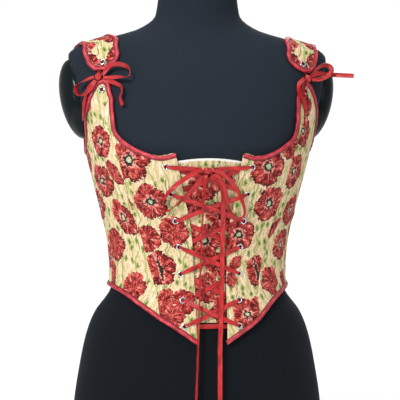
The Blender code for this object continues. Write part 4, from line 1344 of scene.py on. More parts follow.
@dataclass
class DressForm:
    """The limbless form: a jersey torso cut flat at the armholes, and a glossy dome on each cut."""

    figure: Figure
    sides: int = 96
    spacing: float = 5.0
    foot_round: float = 1.6
    foot_in: float = 0.011
    body_from: float = 6.0
    neck_from: float = 612.0
    neck_rise: float = 6.0
    neck_in: float = 0.14
    cap_low: tuple[float, float] = (CAP_LOW_X, CAP_LOW_HEIGHT)
    cap_lean: float = CAP_LEAN
    cap_centre: float = CAP_CENTRE_HEIGHT
    cap_half: tuple[float, float, float] = (CAP_DOME, CAP_HALF_DEPTH, CAP_HALF_HEIGHT)
    cap_set_back: float = CAP_SET_BACK
    cut_above: float = 385.0

    def ring(self, height: float, share: float, level: float) -> list[Place]:
        """A level ring of the torso, drawn in to a share of its size and set at its own level."""
        ring = []
        for i in range(self.sides + 1):
            bearing = 360 * (i % self.sides) / self.sides
            point = self.figure.skin(bearing, height)
            ring.append((Vector((point.x * share, point.y * share, level)), (360 * i / self.sides, level)))
        return ring

    def torso_rings(self) -> list[list[Place]]:
        """The torso's rings: a rounded foot edge, the body, and the neck's rounded top."""
        rings, quarter = [], [math.pi / 2 * i / 5 for i in range(6)]
        for turn in quarter:
            share = 1 - (1 - math.sin(turn)) * self.foot_in
            rings.append(self.ring(0, share, self.foot_round * (1 - math.cos(turn))))
        body = self.neck_from - self.body_from
        count = round(body / self.spacing)
        for i in range(count):
            level = self.body_from + body * i / count
            rings.append(self.ring(level, 1.0, level))
        for turn in quarter:
            share = 1 - self.neck_in * (1 - math.cos(turn))
            rings.append(self.ring(self.neck_from, share, self.neck_from + self.neck_rise * math.sin(turn)))
        return rings

    def make_torso(self, material: Material) -> Object:
        """Lofts the torso and cuts it flat at both armholes.

        Args:
            material: The jersey.

        Returns:
            The torso.
        """
        bm = swept(self.torso_rings(), closed=True)
        for half in Half:
            place = self.cap_place(half, 0.0)
            normal = (place.to_3x3() @ Vector((1, 0, 0))).normalized()
            faces = [face for face in bm.faces if face.calc_center_median().z > self.cut_above * MM]
            edges = {edge for face in faces for edge in face.edges}
            verts = {vert for face in faces for vert in face.verts}
            cut = bmesh.ops.bisect_plane(
                bm, geom=[*verts, *edges, *faces], plane_co=place.translation * MM, plane_no=normal,
                clear_outer=True,
            )
            edges = [item for item in cut["geom_cut"] if isinstance(item, bmesh.types.BMEdge)]
            bmesh.ops.edgeloop_fill(bm, edges=edges)
        bmesh.ops.recalc_face_normals(bm, faces=bm.faces)
        piece = baked(new_piece("dress_form", bm, material), 40.0)
        return stands_for(piece, "jersey", "form_torso")

    def cap_place(self, half: Half, out: float) -> Matrix:
        """The frame of an armhole's cut: +X along its outward normal, +Z up the cut."""
        low_x, low_height = self.cap_low
        x = low_x + (self.cap_centre - low_height) * math.tan(self.cap_lean)
        mirror = Matrix.Diagonal((half.value, 1, 1, 1))
        lean = Matrix.Rotation(self.cap_lean, 4, "Y")
        centre = Matrix.Translation((x, self.cap_set_back, self.cap_centre))
        return mirror @ centre @ lean @ Matrix.Translation((out, 0, 0))

    def make_cap(self, half: Half, material: Material) -> Object:
        """Domes the oval cap of one armhole."""
        bm = bmesh.new()
        bmesh.ops.create_uvsphere(bm, u_segments=72, v_segments=36, radius=1)
        bmesh.ops.rotate(bm, verts=bm.verts, matrix=Matrix.Rotation(math.pi / 2, 3, "Y"))
        geometry = bm.verts[:] + bm.edges[:] + bm.faces[:]
        bmesh.ops.bisect_plane(bm, geom=geometry, plane_co=(0, 0, 0), plane_no=(1, 0, 0), clear_inner=True)
        bmesh.ops.edgeloop_fill(bm, edges=[edge for edge in bm.edges if edge.is_boundary])
        bmesh.ops.scale(bm, vec=self.cap_half, verts=bm.verts)
        in_metres(bm, self.cap_place(half, CLEAR))
        bmesh.ops.recalc_face_normals(bm, faces=bm.faces)
        piece = baked(new_piece(f"arm_cap_{half.label}", bm, material), 45.0)
        return stands_for(piece, "gloss_cap", f"form_arm_cap_{half.label}")

    def make(self, jersey: Jersey, gloss: GlossyCap) -> None:
        """Makes the torso and both caps."""
        self.make_torso(jersey.make())
        finish = gloss.make()
        for half in Half:
            self.make_cap(half, finish)


@dataclass
class Panels:
    """The vest's cut cloth: three panels a side and the placket behind the lacing."""

    figure: Figure
    pattern: Pattern
    cell: float = 2.1
    centre_columns: int = 44
    side_columns: int = 56
    back_columns: int = 64
    placket_columns: int = 48
    crowded: float = 0.6
    seam_roll: float = 0.55
    roll_width: float = 1.7
    rim_round: float = 0.35
    hole: float = 3.2
    punch_depth: float = 7.0
    placket_wall: float = 1.0
    overlocked: float = 2.6
    placket_ease: float = 0.8
    placket_ripple: float = 0.35
    cut_spare: float = 1.02
    centre_middle: float = 38.0
    side_middle: float = 72.0

    def spread(self, across: float) -> float:
        """Crowds a grid's columns towards both edges."""
        return across - self.crowded * math.sin(math.tau * across) / math.tau

    def even_rows(self, line: Callable[[float], Spot], last: float) -> list[float]:
        """Row numbers that stand evenly along a line of the pattern.

        Args:
            line: Gives (bearing, height) at a row number.
            last: The last row number.

        Returns:
            The row numbers, a cell apart on the cloth.
        """
        fine = steps(0, last, 6)
        points = [self.figure.skin(*line(at)) for at in fine]
        run = [0.0]
        for before, after in zip(points, points[1:]):
            run.append(run[-1] + (after - before).length)
        count = round(run[-1] / self.cell)
        rows, index = [], 0
        for i in range(count + 1):
            reach = run[-1] * i / count
            while index < len(run) - 2 and run[index + 1] < reach:
                index += 1
            share = (reach - run[index]) / (run[index + 1] - run[index])
            rows.append(fine[index] + (fine[index + 1] - fine[index]) * share)
        return rows

    def rolled(self, across: float, width: float) -> float:
        """How far the cloth turns down at a seam, at a place across a panel of a width in mm."""
        off = min(across, 1 - across) * width
        return -self.seam_roll * math.exp(-((off / self.roll_width) ** 2))

    def front_rings(
        self, half: Half, first: str, second: str, middle: float, rows: list[float], columns: int,
    ) -> list[list[Place]]:
        """The rings of a front panel.

        Args:
            half: The vest's half.
            first: The pattern column of the edge nearer the centre front.
            second: The pattern column of the other edge.
            middle: The bearing that the grain is measured from.
            rows: The row numbers.
            columns: Faces across.

        Returns:
            The rings, with the grain level and upright on the figure.
        """
        rings, place, sign = [], self.pattern.front_place, half.value
        for at in rows:
            ends = [self.figure.skin(*place(first, second, sign, end, at)) for end in (0, 1)]
            width = (ends[1] - ends[0]).length
            ring = []
            for i in range(columns + 1):
                across = self.spread(i / columns)
                bearing, height = place(first, second, sign, across, at)
                point = self.figure.on_cloth(bearing, height, self.rolled(across, width) - WALL)
                grain = self.figure.arc(bearing, height) - self.figure.arc(sign * middle, height)
                ring.append((point, (grain, height)))
            rings.append(ring)
        return rings

    def back_rings(self, half: Half, rows: list[float]) -> list[list[Place]]:
        """The rings of a back panel, with the grain along its middle."""
        rings: list[list[Place]] = []
        run, half_way = 0.0, self.back_columns // 2
        shares = [self.spread(i / self.back_columns) for i in range(self.back_columns + 1)]
        for at in rows:
            places = [self.pattern.back_place(half.value, across, at) for across in shares]
            plain = [self.figure.on_cloth(*place, -WALL) for place in places]
            reach = [0.0]
            for before, after in zip(plain, plain[1:]):
                reach.append(reach[-1] + (after - before).length)
            middle = reach[half_way]
            points = [
                point + self.figure.outward(*place) * self.rolled(across, reach[-1])
                for point, place, across in zip(plain, places, shares)
            ]
            if rings:
                run += (plain[half_way] - rings[-1][half_way][0]).length
            rings.append([(point, ((off - middle) * -half.value, run)) for point, off in zip(points, reach)])
        return rings

    def placket_place(self, across: float, up: float) -> Place:
        """A place of the placket, which lies on the form behind the lacing."""
        bearing = (2 * across - 1) * PLACKET_HALF_BEARING
        top = PLACKET_TOP + PLACKET_TOP_RISE * (1 - (2 * across - 1) ** 2)
        height = PLACKET_BOTTOM + (top - PLACKET_BOTTOM) * up
        turned = bearing + self.figure.lean(0, height)
        uneven = 0.5 + noise.noise(Vector((bearing * 0.16, height * 0.05, 4.0)))
        out = self.placket_ease + self.placket_ripple * uneven
        point = self.figure.skin(turned, height) + self.figure.outward(turned, height) * out
        return point, (self.figure.arc(bearing, height), height - top)

    def cut_holes(self, piece: Object, places: Sequence[Spot]) -> None:
        """Cuts a panel's eyelet holes at places of (bearing, height)."""
        bm = bmesh.new()
        for place in places:
            bmesh.ops.create_cone(
                bm, cap_ends=True, segments=32, radius1=self.hole, radius2=self.hole, depth=self.punch_depth,
                matrix=self.figure.seat(*place, -WALL / 2),
            )
        in_metres(bm)
        cutter = new_piece(f"{piece.name}_punch", bm, piece.data.materials[0])
        boolean = piece.modifiers.new("eyelet holes", "BOOLEAN")
        boolean.operation = "DIFFERENCE"
        boolean.solver = "EXACT"
        boolean.object = cutter
        baked(piece)
        bpy.data.objects.remove(cutter)

    def sewn(
        self, name: str, node: str, rings: list[list[Place]], material: Material,
        holes: Sequence[Spot] = (), wall: float = WALL,
    ) -> Object:
        """Args:
            name: The piece's name.
            node: The node that it stands for.
            rings: Its rings, of the cloth's inner face.
            material: Its finish.
            holes: The places of its eyelets.
            wall: The cloth's thickness, in mm.

        Returns:
            The panel.
        """
        bm = swept(rings)
        bm.normal_update()
        middle = bm.faces[:][len(bm.faces) // 2]
        centre = middle.calc_center_median()
        if middle.normal.dot(Vector((centre.x, centre.y, 0))) < 0:
            bmesh.ops.reverse_faces(bm, faces=bm.faces)
        area = sum(face.calc_area() for face in bm.faces)
        half_way = len(rings[0]) // 2
        length = sum((b[half_way][0] - a[half_way][0]).length for a, b in zip(rings, rings[1:])) * MM
        width = max(sum((b[0] - a[0]).length for a, b in zip(ring, ring[1:])) for ring in rings) * MM
        piece = new_piece(name, bm, material)
        thickened(piece, wall, 1.0, 0.0 if holes else self.rim_round)
        if holes:
            self.cut_holes(piece, holes)
        else:
            baked(piece)
        return stands_for(piece, "tapestry", node)

    def charted(self, name: str, middle: float, level: float = 0.0) -> tuple[Flower, ...]:
        """A panel's flowers, moved from bearings and heights to its grain."""
        moved = []
        for flower in CHARTS[name]:
            bearing, height = flower.across, flower.up
            across = self.figure.arc(bearing, height) - self.figure.arc(middle, height)
            moved.append(flower._replace(across=across, up=height - level))
        return tuple(moved)

    def make_fronts(self, half: Half) -> None:
        """Makes the centre front and the side front of one half."""
        label, sign = half.label, half.value
        rows = self.even_rows(lambda at: self.pattern.front_line("seam", at), SEAM_END)
        rings = self.front_rings(half, "edge", "seam", self.centre_middle, rows, self.centre_columns)
        holes = [self.figure.worn_eyelet(sign, eyelet) for eyelet in LACE_EYELETS]
        name = f"centre_front_{label}"
        finish = Tapestry(f"tapestry_{name}", self.charted(name, sign * self.centre_middle)).make()
        self.sewn(f"cloth_{name}", name, rings, finish, holes)
        rows = self.even_rows(lambda at: self.pattern.front_line("side", at), len(FRONT) - 1)
        rings = self.front_rings(half, "seam", "side", self.side_middle, rows, self.side_columns)
        name = f"side_front_{label}"
        finish = Tapestry(f"tapestry_{name}", self.charted(name, sign * self.side_middle)).make()
        self.sewn(f"cloth_{name}", name, rings, finish, [STRAP_EYELET.on(half)])

    def make_back(self, half: Half, finish: Material) -> None:
        """Makes the back panel of one half, with its strap over the shoulder."""
        name = f"back_{half.label}"
        rows = self.even_rows(lambda at: self.pattern.back_place(half.value, 0.5, at), len(BACK) - 1)
        rings = self.back_rings(half, rows)
        self.sewn(f"cloth_{name}", name, rings, finish, [TAB_EYELET.on(half)])

    def make_placket(self) -> None:
        """Makes the placket, with its overlocked top edge."""
        flowers = self.charted("placket", 0.0, PLACKET_TOP + PLACKET_TOP_RISE)
        finish = Tapestry("tapestry_placket", flowers, overlock_from=-self.overlocked).make()
        rows, columns = round((PLACKET_TOP - PLACKET_BOTTOM) / self.cell), self.placket_columns
        rings = [
            [self.placket_place(i / columns, j / rows) for i in range(columns + 1)] for j in range(rows + 1)
        ]
        self.sewn("cloth_placket", "placket", rings, finish, wall=self.placket_wall)

    def make(self) -> None:
        """Makes every panel."""
        self.make_placket()
        repeated = Tapestry("tapestry_back", BACK_GROUP, repeat=BACK_REPEAT).make()
        for half in Half:
            self.make_fronts(half)
            self.make_back(half, repeated)


@dataclass
class Bindings:
    """Folded satin bias sewn over the vest's raw edges, with its stitching along the inner side."""

    figure: Figure
    pattern: Pattern
    per_row: int = 7
    ripple: float = 0.12
    puffed_above: float = 1.3
    section: tuple[tuple[float, float], ...] = (
        (-5.2, 0.40), (-5.35, 0.75), (-4.95, 1.18), (-4.3, 1.22), (-3.8, 1.12), (-3.1, 1.62),
        (-2.0, 1.88), (-0.8, 1.72), (0.3, 1.35), (0.95, 0.75), (1.15, -0.1), (1.12, -1.1),
        (0.9, -1.75), (0.3, -1.8), (0.3, 0.25),
    )

    def ring(self, before: Spot, here: Spot, after: Spot, side: int, run: float) -> list[Place]:
        """One section of a binding.

        Args:
            before: The place before on the cloth's edge, as (bearing, height).
            here: The section's place.
            after: The place after.
            side: The half's sign.
            run: The length of binding before the section, in mm.

        Returns:
            The section's ring, closed by its first point.
        """
        normal = self.figure.outward(*here)
        along = (self.figure.on_cloth(*after) - self.figure.on_cloth(*before)).normalized()
        away = along.cross(normal).normalized() * -side
        edge = self.figure.on_cloth(*here)
        puff = 1 + self.ripple * math.sin(run * 0.9 + 2.0 * math.sin(run * 0.23))
        ring: list[Place] = []
        across = 0.0
        for i, (reach, lift) in enumerate((*self.section, self.section[0])):
            raised = lift * puff if lift > self.puffed_above else lift
            if reach < 0 and lift > 0:
                place = self.figure.moved(*here, away * reach)
                point = self.figure.on_cloth(*place, raised)
            else:
                point = edge + away * reach + normal * raised
            if i:
                across += math.dist((reach, lift), self.section[i - 1])
            ring.append((point, (across, run)))
        return ring

    def sew(self, name: str, path: list[Spot], half: Half, material: Material) -> None:
        """Makes a binding along a path of (bearing, height)."""
        rings, run = [], 0.0
        for i, here in enumerate(path):
            before, after = path[max(i - 1, 0)], path[min(i + 1, len(path) - 1)]
            if i:
                run += (self.figure.on_cloth(*here) - self.figure.on_cloth(*path[i - 1])).length
            rings.append(self.ring(before, here, after, half.value, run))
        piece = baked(new_piece(f"bias_{name}", swept(rings, closed=True), material), 60.0)
        stands_for(piece, "bias", f"binding_{name}")

    def make(self, finish: Satin) -> None:
        """Sews the bindings of both halves."""
        material = finish.make()
        for half in Half:
            self.sew(f"front_{half.label}", self.front_path(half), half, material)
            self.sew(f"back_{half.label}", self.back_path(half), half, material)
            self.sew(f"hem_{half.label}", self.hem_path(half), half, material)

    def front_path(self, half: Half) -> list[Spot]:
        """Along the front neckline, round the strap's end and down the armhole."""
        line, last = self.pattern.front_line, len(FRONT) - 1
        neck = [line("edge", at) for at in steps(FRONT_CORNER, SEAM_END, self.per_row)]
        strap = [line("seam", at) for at in steps(SEAM_END + 0.5, last, self.per_row)]
        armhole = [line("side", at) for at in steps(last, UNDERARM, self.per_row)]
        armhole[-1] = (armhole[-1][0] - UNDERARM_GAP, armhole[-1][1])
        return [(self.figure.worn(half.value, *place), place[1]) for place in neck + strap + armhole]

    def back_path(self, half: Half) -> list[Spot]:
        """Up the back armhole, round the tab and down the back neckline."""
        line, last = self.pattern.back_line, len(BACK) - 1
        armhole = [line("side", at) for at in steps(BACK_CORNER, last, self.per_row)]
        armhole[0] = (armhole[0][0] + UNDERARM_GAP, armhole[0][1])
        neck = [line("centre", at) for at in steps(last, BACK_CORNER, self.per_row)]
        neck[-1] = (neck[-1][0] - self.pattern.seam_shift(*neck[-1]), neck[-1][1])
        return [(half.value * bearing, height) for bearing, height in armhole + neck]

    def hem_path(self, half: Half) -> list[Spot]:
        """Round the hem from the centre back to the front edge."""
        sign, shares = half.value, steps(0, 1, 60)
        path = [self.pattern.back_place(sign, max(across, CENTRE_BACK_GAP), 0) for across in shares]
        path += [self.pattern.front_place("seam", "side", sign, 1 - across, 0) for across in shares]
        return path + [self.pattern.front_place("edge", "seam", sign, 1 - across, 0) for across in shares[1:]]


@dataclass
class Eyelets:
    """Clenched metal eyelets, turned from one rounded profile."""

    figure: Figure
    profile: tuple[tuple[float, float], ...] = (
        (2.52, -1.78), (2.84, -1.78), (2.84, 0.26), (4.22, 0.24), (4.36, 0.36), (4.28, 0.58),
        (3.95, 0.82), (3.5, 0.96), (3.05, 0.97), (2.72, 0.80), (2.54, 0.42),
    )

    def turned(self) -> BMesh:
        """Spins one eyelet about +Z, in mm."""
        bm = bmesh.new()
        verts = [bm.verts.new((radius, 0, lift)) for radius, lift in self.profile]
        edges = [bm.edges.new((verts[i - 1], verts[i])) for i in range(len(verts))]
        bmesh.ops.spin(
            bm, geom=verts + edges, cent=(0, 0, 0), axis=(0, 0, 1), angle=math.tau, steps=36, use_merge=True
        )
        bmesh.ops.recalc_face_normals(bm, faces=bm.faces)
        return bm

    def set(self, node: str, place: Spot, material: Material) -> None:
        """Sets one eyelet in the cloth."""
        bm = self.turned()
        in_metres(bm, self.figure.seat(*place))
        piece = baked(new_piece(f"metal_{node}", bm, material), 60.0)
        stands_for(piece, "eyelet", node)

    def make(self, finish: PolishedEyelet) -> None:
        """Sets the eyelets of the lacing, the straps and the tabs."""
        material = finish.make()
        for half in Half:
            for row, eyelet in enumerate(LACE_EYELETS, 1):
                place = self.figure.worn_eyelet(half.value, eyelet)
                self.set(f"eyelet_{half.label}_{row}", place, material)
            self.set(f"eyelet_strap_{half.label}", STRAP_EYELET.on(half), material)
            self.set(f"eyelet_tab_{half.label}", TAB_EYELET.on(half), material)


@dataclass
class Ribbons:
    """Flat satin ribbon, laid along a course of stations."""

    figure: Figure
    material: Material
    width: float = RIBBON_WIDTH
    wall: float = RIBBON_WALL
    columns: int = 6
    step: float = 1.9
    cup: float = 0.22
    pleat: float = 0.15
    loop_ripple: float = 0.25
    tail_ripple: float = 0.15
    drawn_in: float = 1.6
    drawn_over: int = 5
    knot_pleat: float = 0.13
    knot_bends: float = 7.5
    knot_slant: float = 1.6

    def refined(self, course: Sequence[Station]) -> list[Station]:
        """A course with stations added along a smooth curve."""
        rows = [Vector((*station.point, *station.across, station.width)) for station in course]
        gaps = [(b.point - a.point).length for a, b in zip(course, course[1:])]
        slopes = []
        for i in range(len(rows)):
            before, after = max(i - 1, 0), min(i + 1, len(rows) - 1)
            if before == i or after == i:
                slopes.append((rows[after] - rows[before]) / (gaps[0] if before == i else gaps[-1]))
                continue
            rate_in = (rows[i] - rows[before]) / gaps[before]
            rate_out = (rows[after] - rows[i]) / gaps[i]
            slopes.append((rate_in * gaps[i] + rate_out * gaps[before]) / (gaps[i] + gaps[before]))
        fine = []
        for i, gap in enumerate(gaps):
            count = min(max(math.ceil(gap / self.step), 2), 16)
            for j in range(count):
                row = between(rows[i], rows[i + 1], slopes[i], slopes[i + 1], j / count, gap)
                fine.append(Station(Vector(row[:3]), Vector(row[3:6]), row[6]))
        fine.append(course[-1])
        return fine

    def lay(
        self, name: str, course: Sequence[Station], ripple: float = 0.0,
    ) -> tuple[Object, list[Vector]]:
        """Lays one length of ribbon.

        Args:
            name: The piece's name.
            course: The stations along it, in mm.
            ripple: How far its surface waves, in mm.

        Returns:
            The ribbon, and the points along its middle in metres.
        """
        fine = self.refined(course)
        rings, run = [], 0.0
        for i, station in enumerate(fine):
            along = fine[min(i + 1, len(fine) - 1)].point - fine[max(i - 1, 0)].point
            level = station.across - along * (station.across.dot(along) / along.length_squared)
            level.normalize()
            thick = level.cross(along).normalized()
            if i:
                run += (station.point - fine[i - 1].point).length
            gathered = (self.width - station.width) * self.pleat
            ring: list[Place] = []
            for j in range(self.columns + 1):
                share = j / self.columns - 0.5
                rise = self.cup * (0.5 - 4 * share * share) + gathered * math.cos(2 * math.tau * share)
                rise += ripple * math.sin(run * 0.17 + 3.0 * share)
                point = station.point + level * (station.width * share) + thick * rise
                ring.append((point, (self.width * share, run)))
            rings.append(ring)
        piece = new_piece(name, swept(rings), self.material)
        thickened(piece, self.wall, 0.0)
        return baked(piece, 60.0), [station.point * MM for station in fine]

    def tilted(self, normal: Vector, along: Vector, tilt: float) -> Vector:
        """The way across a ribbon turned from lying flat towards standing on edge."""
        flat = normal.cross(along).normalized()
        return flat * math.cos(math.radians(tilt)) + normal * math.sin(math.radians(tilt))

    def free_course(self, stops: Sequence[Stop], per_stop: int = 5) -> list[Station]:
        """The course of a bow's loop or tail through its stops."""
        placed = []
        for at in steps(0, len(stops) - 1, per_stop):
            stop = Stop(*(spline([row[i] for row in stops], at) for i in range(4)))
            placed.append((*self.figure.before_cloth(stop), stop.tilt))
        course = []
        for i, (point, normal, tilt) in enumerate(placed):
            along = placed[min(i + 1, len(placed) - 1)][0] - placed[max(i - 1, 0)][0]
            course.append(Station(point, self.tilted(normal, along, tilt), self.width))
        return course

    def loop(self, name: str, node: str, stops: Sequence[Stop]) -> None:
        """Lays a bow's loop, drawn in where it enters the knot."""
        course = self.free_course(stops)
        last = len(course) - 1
        for i, station in enumerate(course):
            near = min(i, last - i) / self.drawn_over
            width = self.width - self.drawn_in * (1 - eased(near))
            course[i] = Station(station.point, station.across, width)
        piece, _ = self.lay(name, course, self.loop_ripple)
        stands_for(piece, "ribbon", node)

    def tail(self, name: str, node: str, stops: Sequence[Stop]) -> None:
        piece, path = self.lay(name, self.free_course(stops), self.tail_ripple)
        length = sum((b - a).length for a, b in zip(path, path[1:]))
        LOG.info("%s: %.0f mm long", name, length / MM)
        tuple(path[0])
        [tuple(point) for point in path]
        stands_for(piece, "ribbon", node)

    def knot(self, name: str, node: str, stop: Stop, size: tuple[float, float, float]) -> None:
        """Forms a bow's knot, pleated where the ribbon wraps it."""
        centre, normal = self.figure.before_cloth(stop)
        bm = bmesh.new()
        bmesh.ops.create_uvsphere(bm, u_segments=56, v_segments=36, radius=1)
        layer = bm.loops.layers.uv.new("grain")
        for face in bm.faces:
            for loop in face.loops:
                loop[layer].uv = (loop.vert.co.x * size[0], loop.vert.co.y * size[1] * 1.4)
        for vert in bm.verts:
            x, y, z = vert.co
            square = math.copysign(abs(x) ** 0.8, x)
            bend = square * self.knot_bends + y * self.knot_slant
            wrap = self.knot_pleat * math.cos(bend) * (1 - abs(x) ** 3)
            vert.co = Vector((square * 0.92, y * (1 + 0.6 * wrap), z * (0.95 + 1.5 * wrap)))
        bmesh.ops.scale(bm, vec=size, verts=bm.verts)
        in_metres(bm, Matrix.Translation(centre) @ facing(normal))
        stands_for(baked(new_piece(name, bm, self.material), 70.0), "ribbon", node)


@dataclass
class Lacing:
    """One ribbon laced down the front in two zigzag halves and tied in a bow at the top."""

    ribbons: Ribbons
    outside_turn: tuple[Turn, ...] = (
        Turn(0.3, 1.0, 3.0), Turn(1.6, 1.75, 3.2), Turn(5.0, 1.85, 4.2), Turn(11.0, 1.85, 5.8),
    )
    inside_turn: tuple[Turn, ...] = (
        Turn(0.3, -2.3, 3.0), Turn(1.6, -2.75, 3.2), Turn(5.0, -2.75, 4.2), Turn(11.0, -2.75, 5.8),
    )
    in_eyelet_lift: float = -0.6
    in_eyelet_width: float = 3.0
    outside_middle: tuple[float, float] = (0.75, 1.9)
    inside_middle: tuple[float, float] = (-3.45, -2.5)
    run_steps: int = 4
    beside_knot: float = 1.2
    above_knot: float = 1.5
    knot_lift: float = 2.4
    bulge: float = 4.0
    gathered: float = 1.2
    leaving_widths: tuple[tuple[float, float], ...] = (
        (0.04, 3.2), (0.12, 4.6), (0.3, RIBBON_WIDTH), (0.5, RIBBON_WIDTH), (0.7, RIBBON_WIDTH),
    )

    def place(self, sign: int, row: int) -> Vector:
        """An eyelet of the lacing as (bearing, height)."""
        eyelet = LACE_EYELETS[row - 1]
        return Vector((self.ribbons.figure.worn(sign, *eyelet), eyelet.height))

    def run(self, start: Vector, end: Vector, layer: int, outside: bool) -> list[Station]:
        """The course from one eyelet to the next.

        Args:
            start: The first eyelet, as (bearing, height).
            end: The next eyelet.
            layer: 0 for the half that crosses under the other, 1 for the half over it.
            outside: Whether the run lies over the cloth.

        Returns:
            The stations between the two eyelets.
        """
        figure = self.ribbons.figure
        turns = self.outside_turn if outside else self.inside_turn
        middle = (self.outside_middle if outside else self.inside_middle)[layer]
        from_point, to_point = figure.on_cloth(*start), figure.on_cloth(*end)
        length = (to_point - from_point).length
        shares = [(turn.along / length, turn.lift, turn.width) for turn in turns]
        rest, first = turns[-1], turns[-1].along / length
        for i in range(1, self.run_steps):
            share = first + (1 - 2 * first) * i / self.run_steps
            lift = rest.lift + (middle - rest.lift) * math.sin(math.pi * share)
            shares.append((share, lift, RIBBON_WIDTH))
        shares += [(1 - turn.along / length, turn.lift, turn.width) for turn in reversed(turns)]
        course = []
        for share, lift, width in shares:
            bearing, height = start.lerp(end, share)
            normal = figure.outward(bearing, height)
            across = normal.cross(to_point - from_point).normalized() * (1 if outside else -1)
            course.append(Station(figure.on_cloth(bearing, height, lift), across, width))
        return course

    def through(self, place: Vector, before: Vector, after: Vector) -> Station:
        """The station inside an eyelet, turned half way between its two runs."""
        point = self.ribbons.figure.on_cloth(*place, self.in_eyelet_lift)
        return Station(point, (before + after).normalized(), self.in_eyelet_width)

    def to_knot(self, sign: int) -> list[Station]:
        """The course from a top eyelet into the bow's knot."""
        figure, top = self.ribbons.figure, self.place(sign, 1)
        x = FRONT_KNOT.x + sign * (FRONT_KNOT_SIZE[0] + self.beside_knot)
        stop = Stop(x, FRONT_KNOT.height + self.above_knot, self.knot_lift, 0)
        point, normal = figure.before_cloth(stop)
        first, rest = self.outside_turn[0], self.outside_turn[-1]
        start = figure.on_cloth(*top, rest.lift)
        across = normal.cross(point - start).normalized()
        course = [Station(figure.on_cloth(*top, first.lift), across, first.width)]
        for share, width in self.leaving_widths:
            bulge = normal * (self.bulge * share * (1 - share))
            course.append(Station(start.lerp(point, share) + bulge, across, width))
        course.append(Station(point, across, RIBBON_WIDTH - self.gathered))
        return course

    def make_half(self, label: str, first: Half, layer: int) -> None:
        """Laces one half, from the bottom eyelets to the knot.

        Args:
            label: The half's letter.
            first: The side of its bottom eyelet.
            layer: 0 for the half that crosses under the other, 1 for the half over it.
        """
        sign, course = first.value, []
        rows = len(LACE_EYELETS)
        if layer == 0:
            course = self.run(self.place(-sign, rows), self.place(sign, rows), 0, False)[3:]
        for row in range(rows, 1, -1):
            start, end = self.place(sign, row), self.place(-sign, row - 1)
            run = self.run(start, end, layer, (rows - row) % 2 == 0)
            before = course[-1].across if course and row < rows else run[0].across
            course.append(self.through(start, before, run[0].across))
            course += run
            sign = -sign
        leaving = self.to_knot(sign)
        course.append(self.through(self.place(sign, 1), course[-1].across, leaving[0].across))
        piece, _ = self.ribbons.lay(f"ribbon_lace_{label}", course + leaving)
        stands_for(piece, "ribbon", f"lace_{label}")

    def make_tails(self) -> None:
        """Hangs the bow's two tails."""
        for side, stops in FRONT_TAILS.items():
            self.ribbons.tail(f"ribbon_tail_{side}", f"bow_tail_{side}", stops)

    def make(self) -> None:
        """Laces both halves and ties the bow."""
        self.make_half("a", Half.LEFT, 0)
        self.make_half("b", Half.RIGHT, 1)
        self.ribbons.knot("ribbon_knot", "bow_knot", FRONT_KNOT, FRONT_KNOT_SIZE)
        for side, stops in FRONT_LOOPS.items():
            self.ribbons.loop(f"ribbon_loop_{side}", f"bow_loop_{side}", stops)


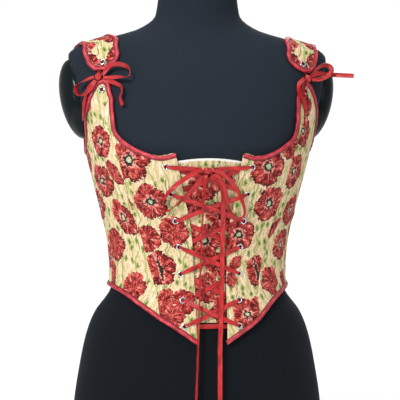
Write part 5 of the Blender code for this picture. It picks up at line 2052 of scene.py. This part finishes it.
@dataclass
class ShoulderTies:
    """The ribbon that ties each tab to its front strap, with its bow."""

    ribbons: Ribbons
    knot_size: tuple[float, float, float] = SHOULDER_KNOT_SIZE
    tab_rises: tuple[float, float, float] = TAB_TIE_RISES
    strap_rises: tuple[float, float, float] = STRAP_TIE_RISES

    def tie(self, half: Half, end: str, eyelet: Eyelet, rises: tuple[float, float, float]) -> None:
        """Leads the ribbon from behind one eyelet up into the knot."""
        figure = self.ribbons.figure
        bearing, height = half.value * eyelet.bearing, eyelet.height
        top = SHOULDER_KNOTS[half.label].height
        way = 1 if top > height else -1
        behind = -WALL - CLEAR - 0.4
        stretch = (
            (height, 0.4, 3.0), (height, -WALL + 0.4, 3.0), (height + way * 1.2, behind, 3.2),
            (height + way * 5, behind, 4.4), (top + rises[0], behind, 5.0), (top + rises[1], -WALL / 2, 5.0),
            (top + rises[2], 1.2, 4.6),
        )
        course = []
        for at, lift, width in stretch:
            across = figure.outward(bearing, at).cross(Vector((0, 0, 1))).normalized()
            course.append(Station(figure.on_cloth(bearing, at, lift), across, width))
        piece, _ = self.ribbons.lay(f"ribbon_tie_{end}_{half.label}", course)
        stands_for(piece, "ribbon", f"tie_{end}_{half.label}")

    def make_tails(self) -> None:
        """Hangs the short tails of both bows."""
        for half in Half:
            for end, stops in SHOULDER_RIBBONS[half.label].items():
                if end.startswith("tail"):
                    self.ribbons.tail(f"ribbon_{end}_{half.label}", f"tie_{end}_{half.label}", stops)

    def make(self) -> None:
        """Ties both shoulders."""
        for half in Half:
            label, knot = half.label, SHOULDER_KNOTS[half.label]
            self.ribbons.knot(f"ribbon_knot_{label}", f"tie_knot_{label}", knot, self.knot_size)
            for end, stops in SHOULDER_RIBBONS[label].items():
                if end.startswith("loop"):
                    self.ribbons.loop(f"ribbon_{end}_{label}", f"tie_{end}_{label}", stops)
            self.tie(half, "tab", TAB_EYELET, self.tab_rises)
            self.tie(half, "strap", STRAP_EYELET, self.strap_rises)


def main() -> None:
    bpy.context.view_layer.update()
    studio = Studio(PaleFloor())
    studio.set_camera()
    figure = Figure()
    pattern = Pattern(figure)
    satin = Satin(
        "satin_ribbon", colour=(0.42, 0.009, 0.010), shade=(0.18, 0.004, 0.005), bright=(0.60, 0.026, 0.027),
        width=RIBBON_WIDTH,
    )
    ribbons = Ribbons(figure, satin.make())
    lacing, ties = Lacing(ribbons), ShoulderTies(ribbons)
    lacing.make_tails()
    ties.make_tails()
    DressForm(figure).make(Jersey(), GlossyCap())
    Panels(figure, pattern).make()
    bias = Satin(
        "satin_bias", colour=(0.42, 0.009, 0.024), shade=(0.14, 0.002, 0.007), bright=(0.70, 0.090, 0.120),
        width=6.3, stitched_at=1.95,
    )
    Bindings(figure, pattern).make(bias)
    Eyelets(figure).make(PolishedEyelet())
    lacing.make()
    ties.make()
    studio.lay_floor()
    studio.light_up()


if __name__ == "__main__":
    main()
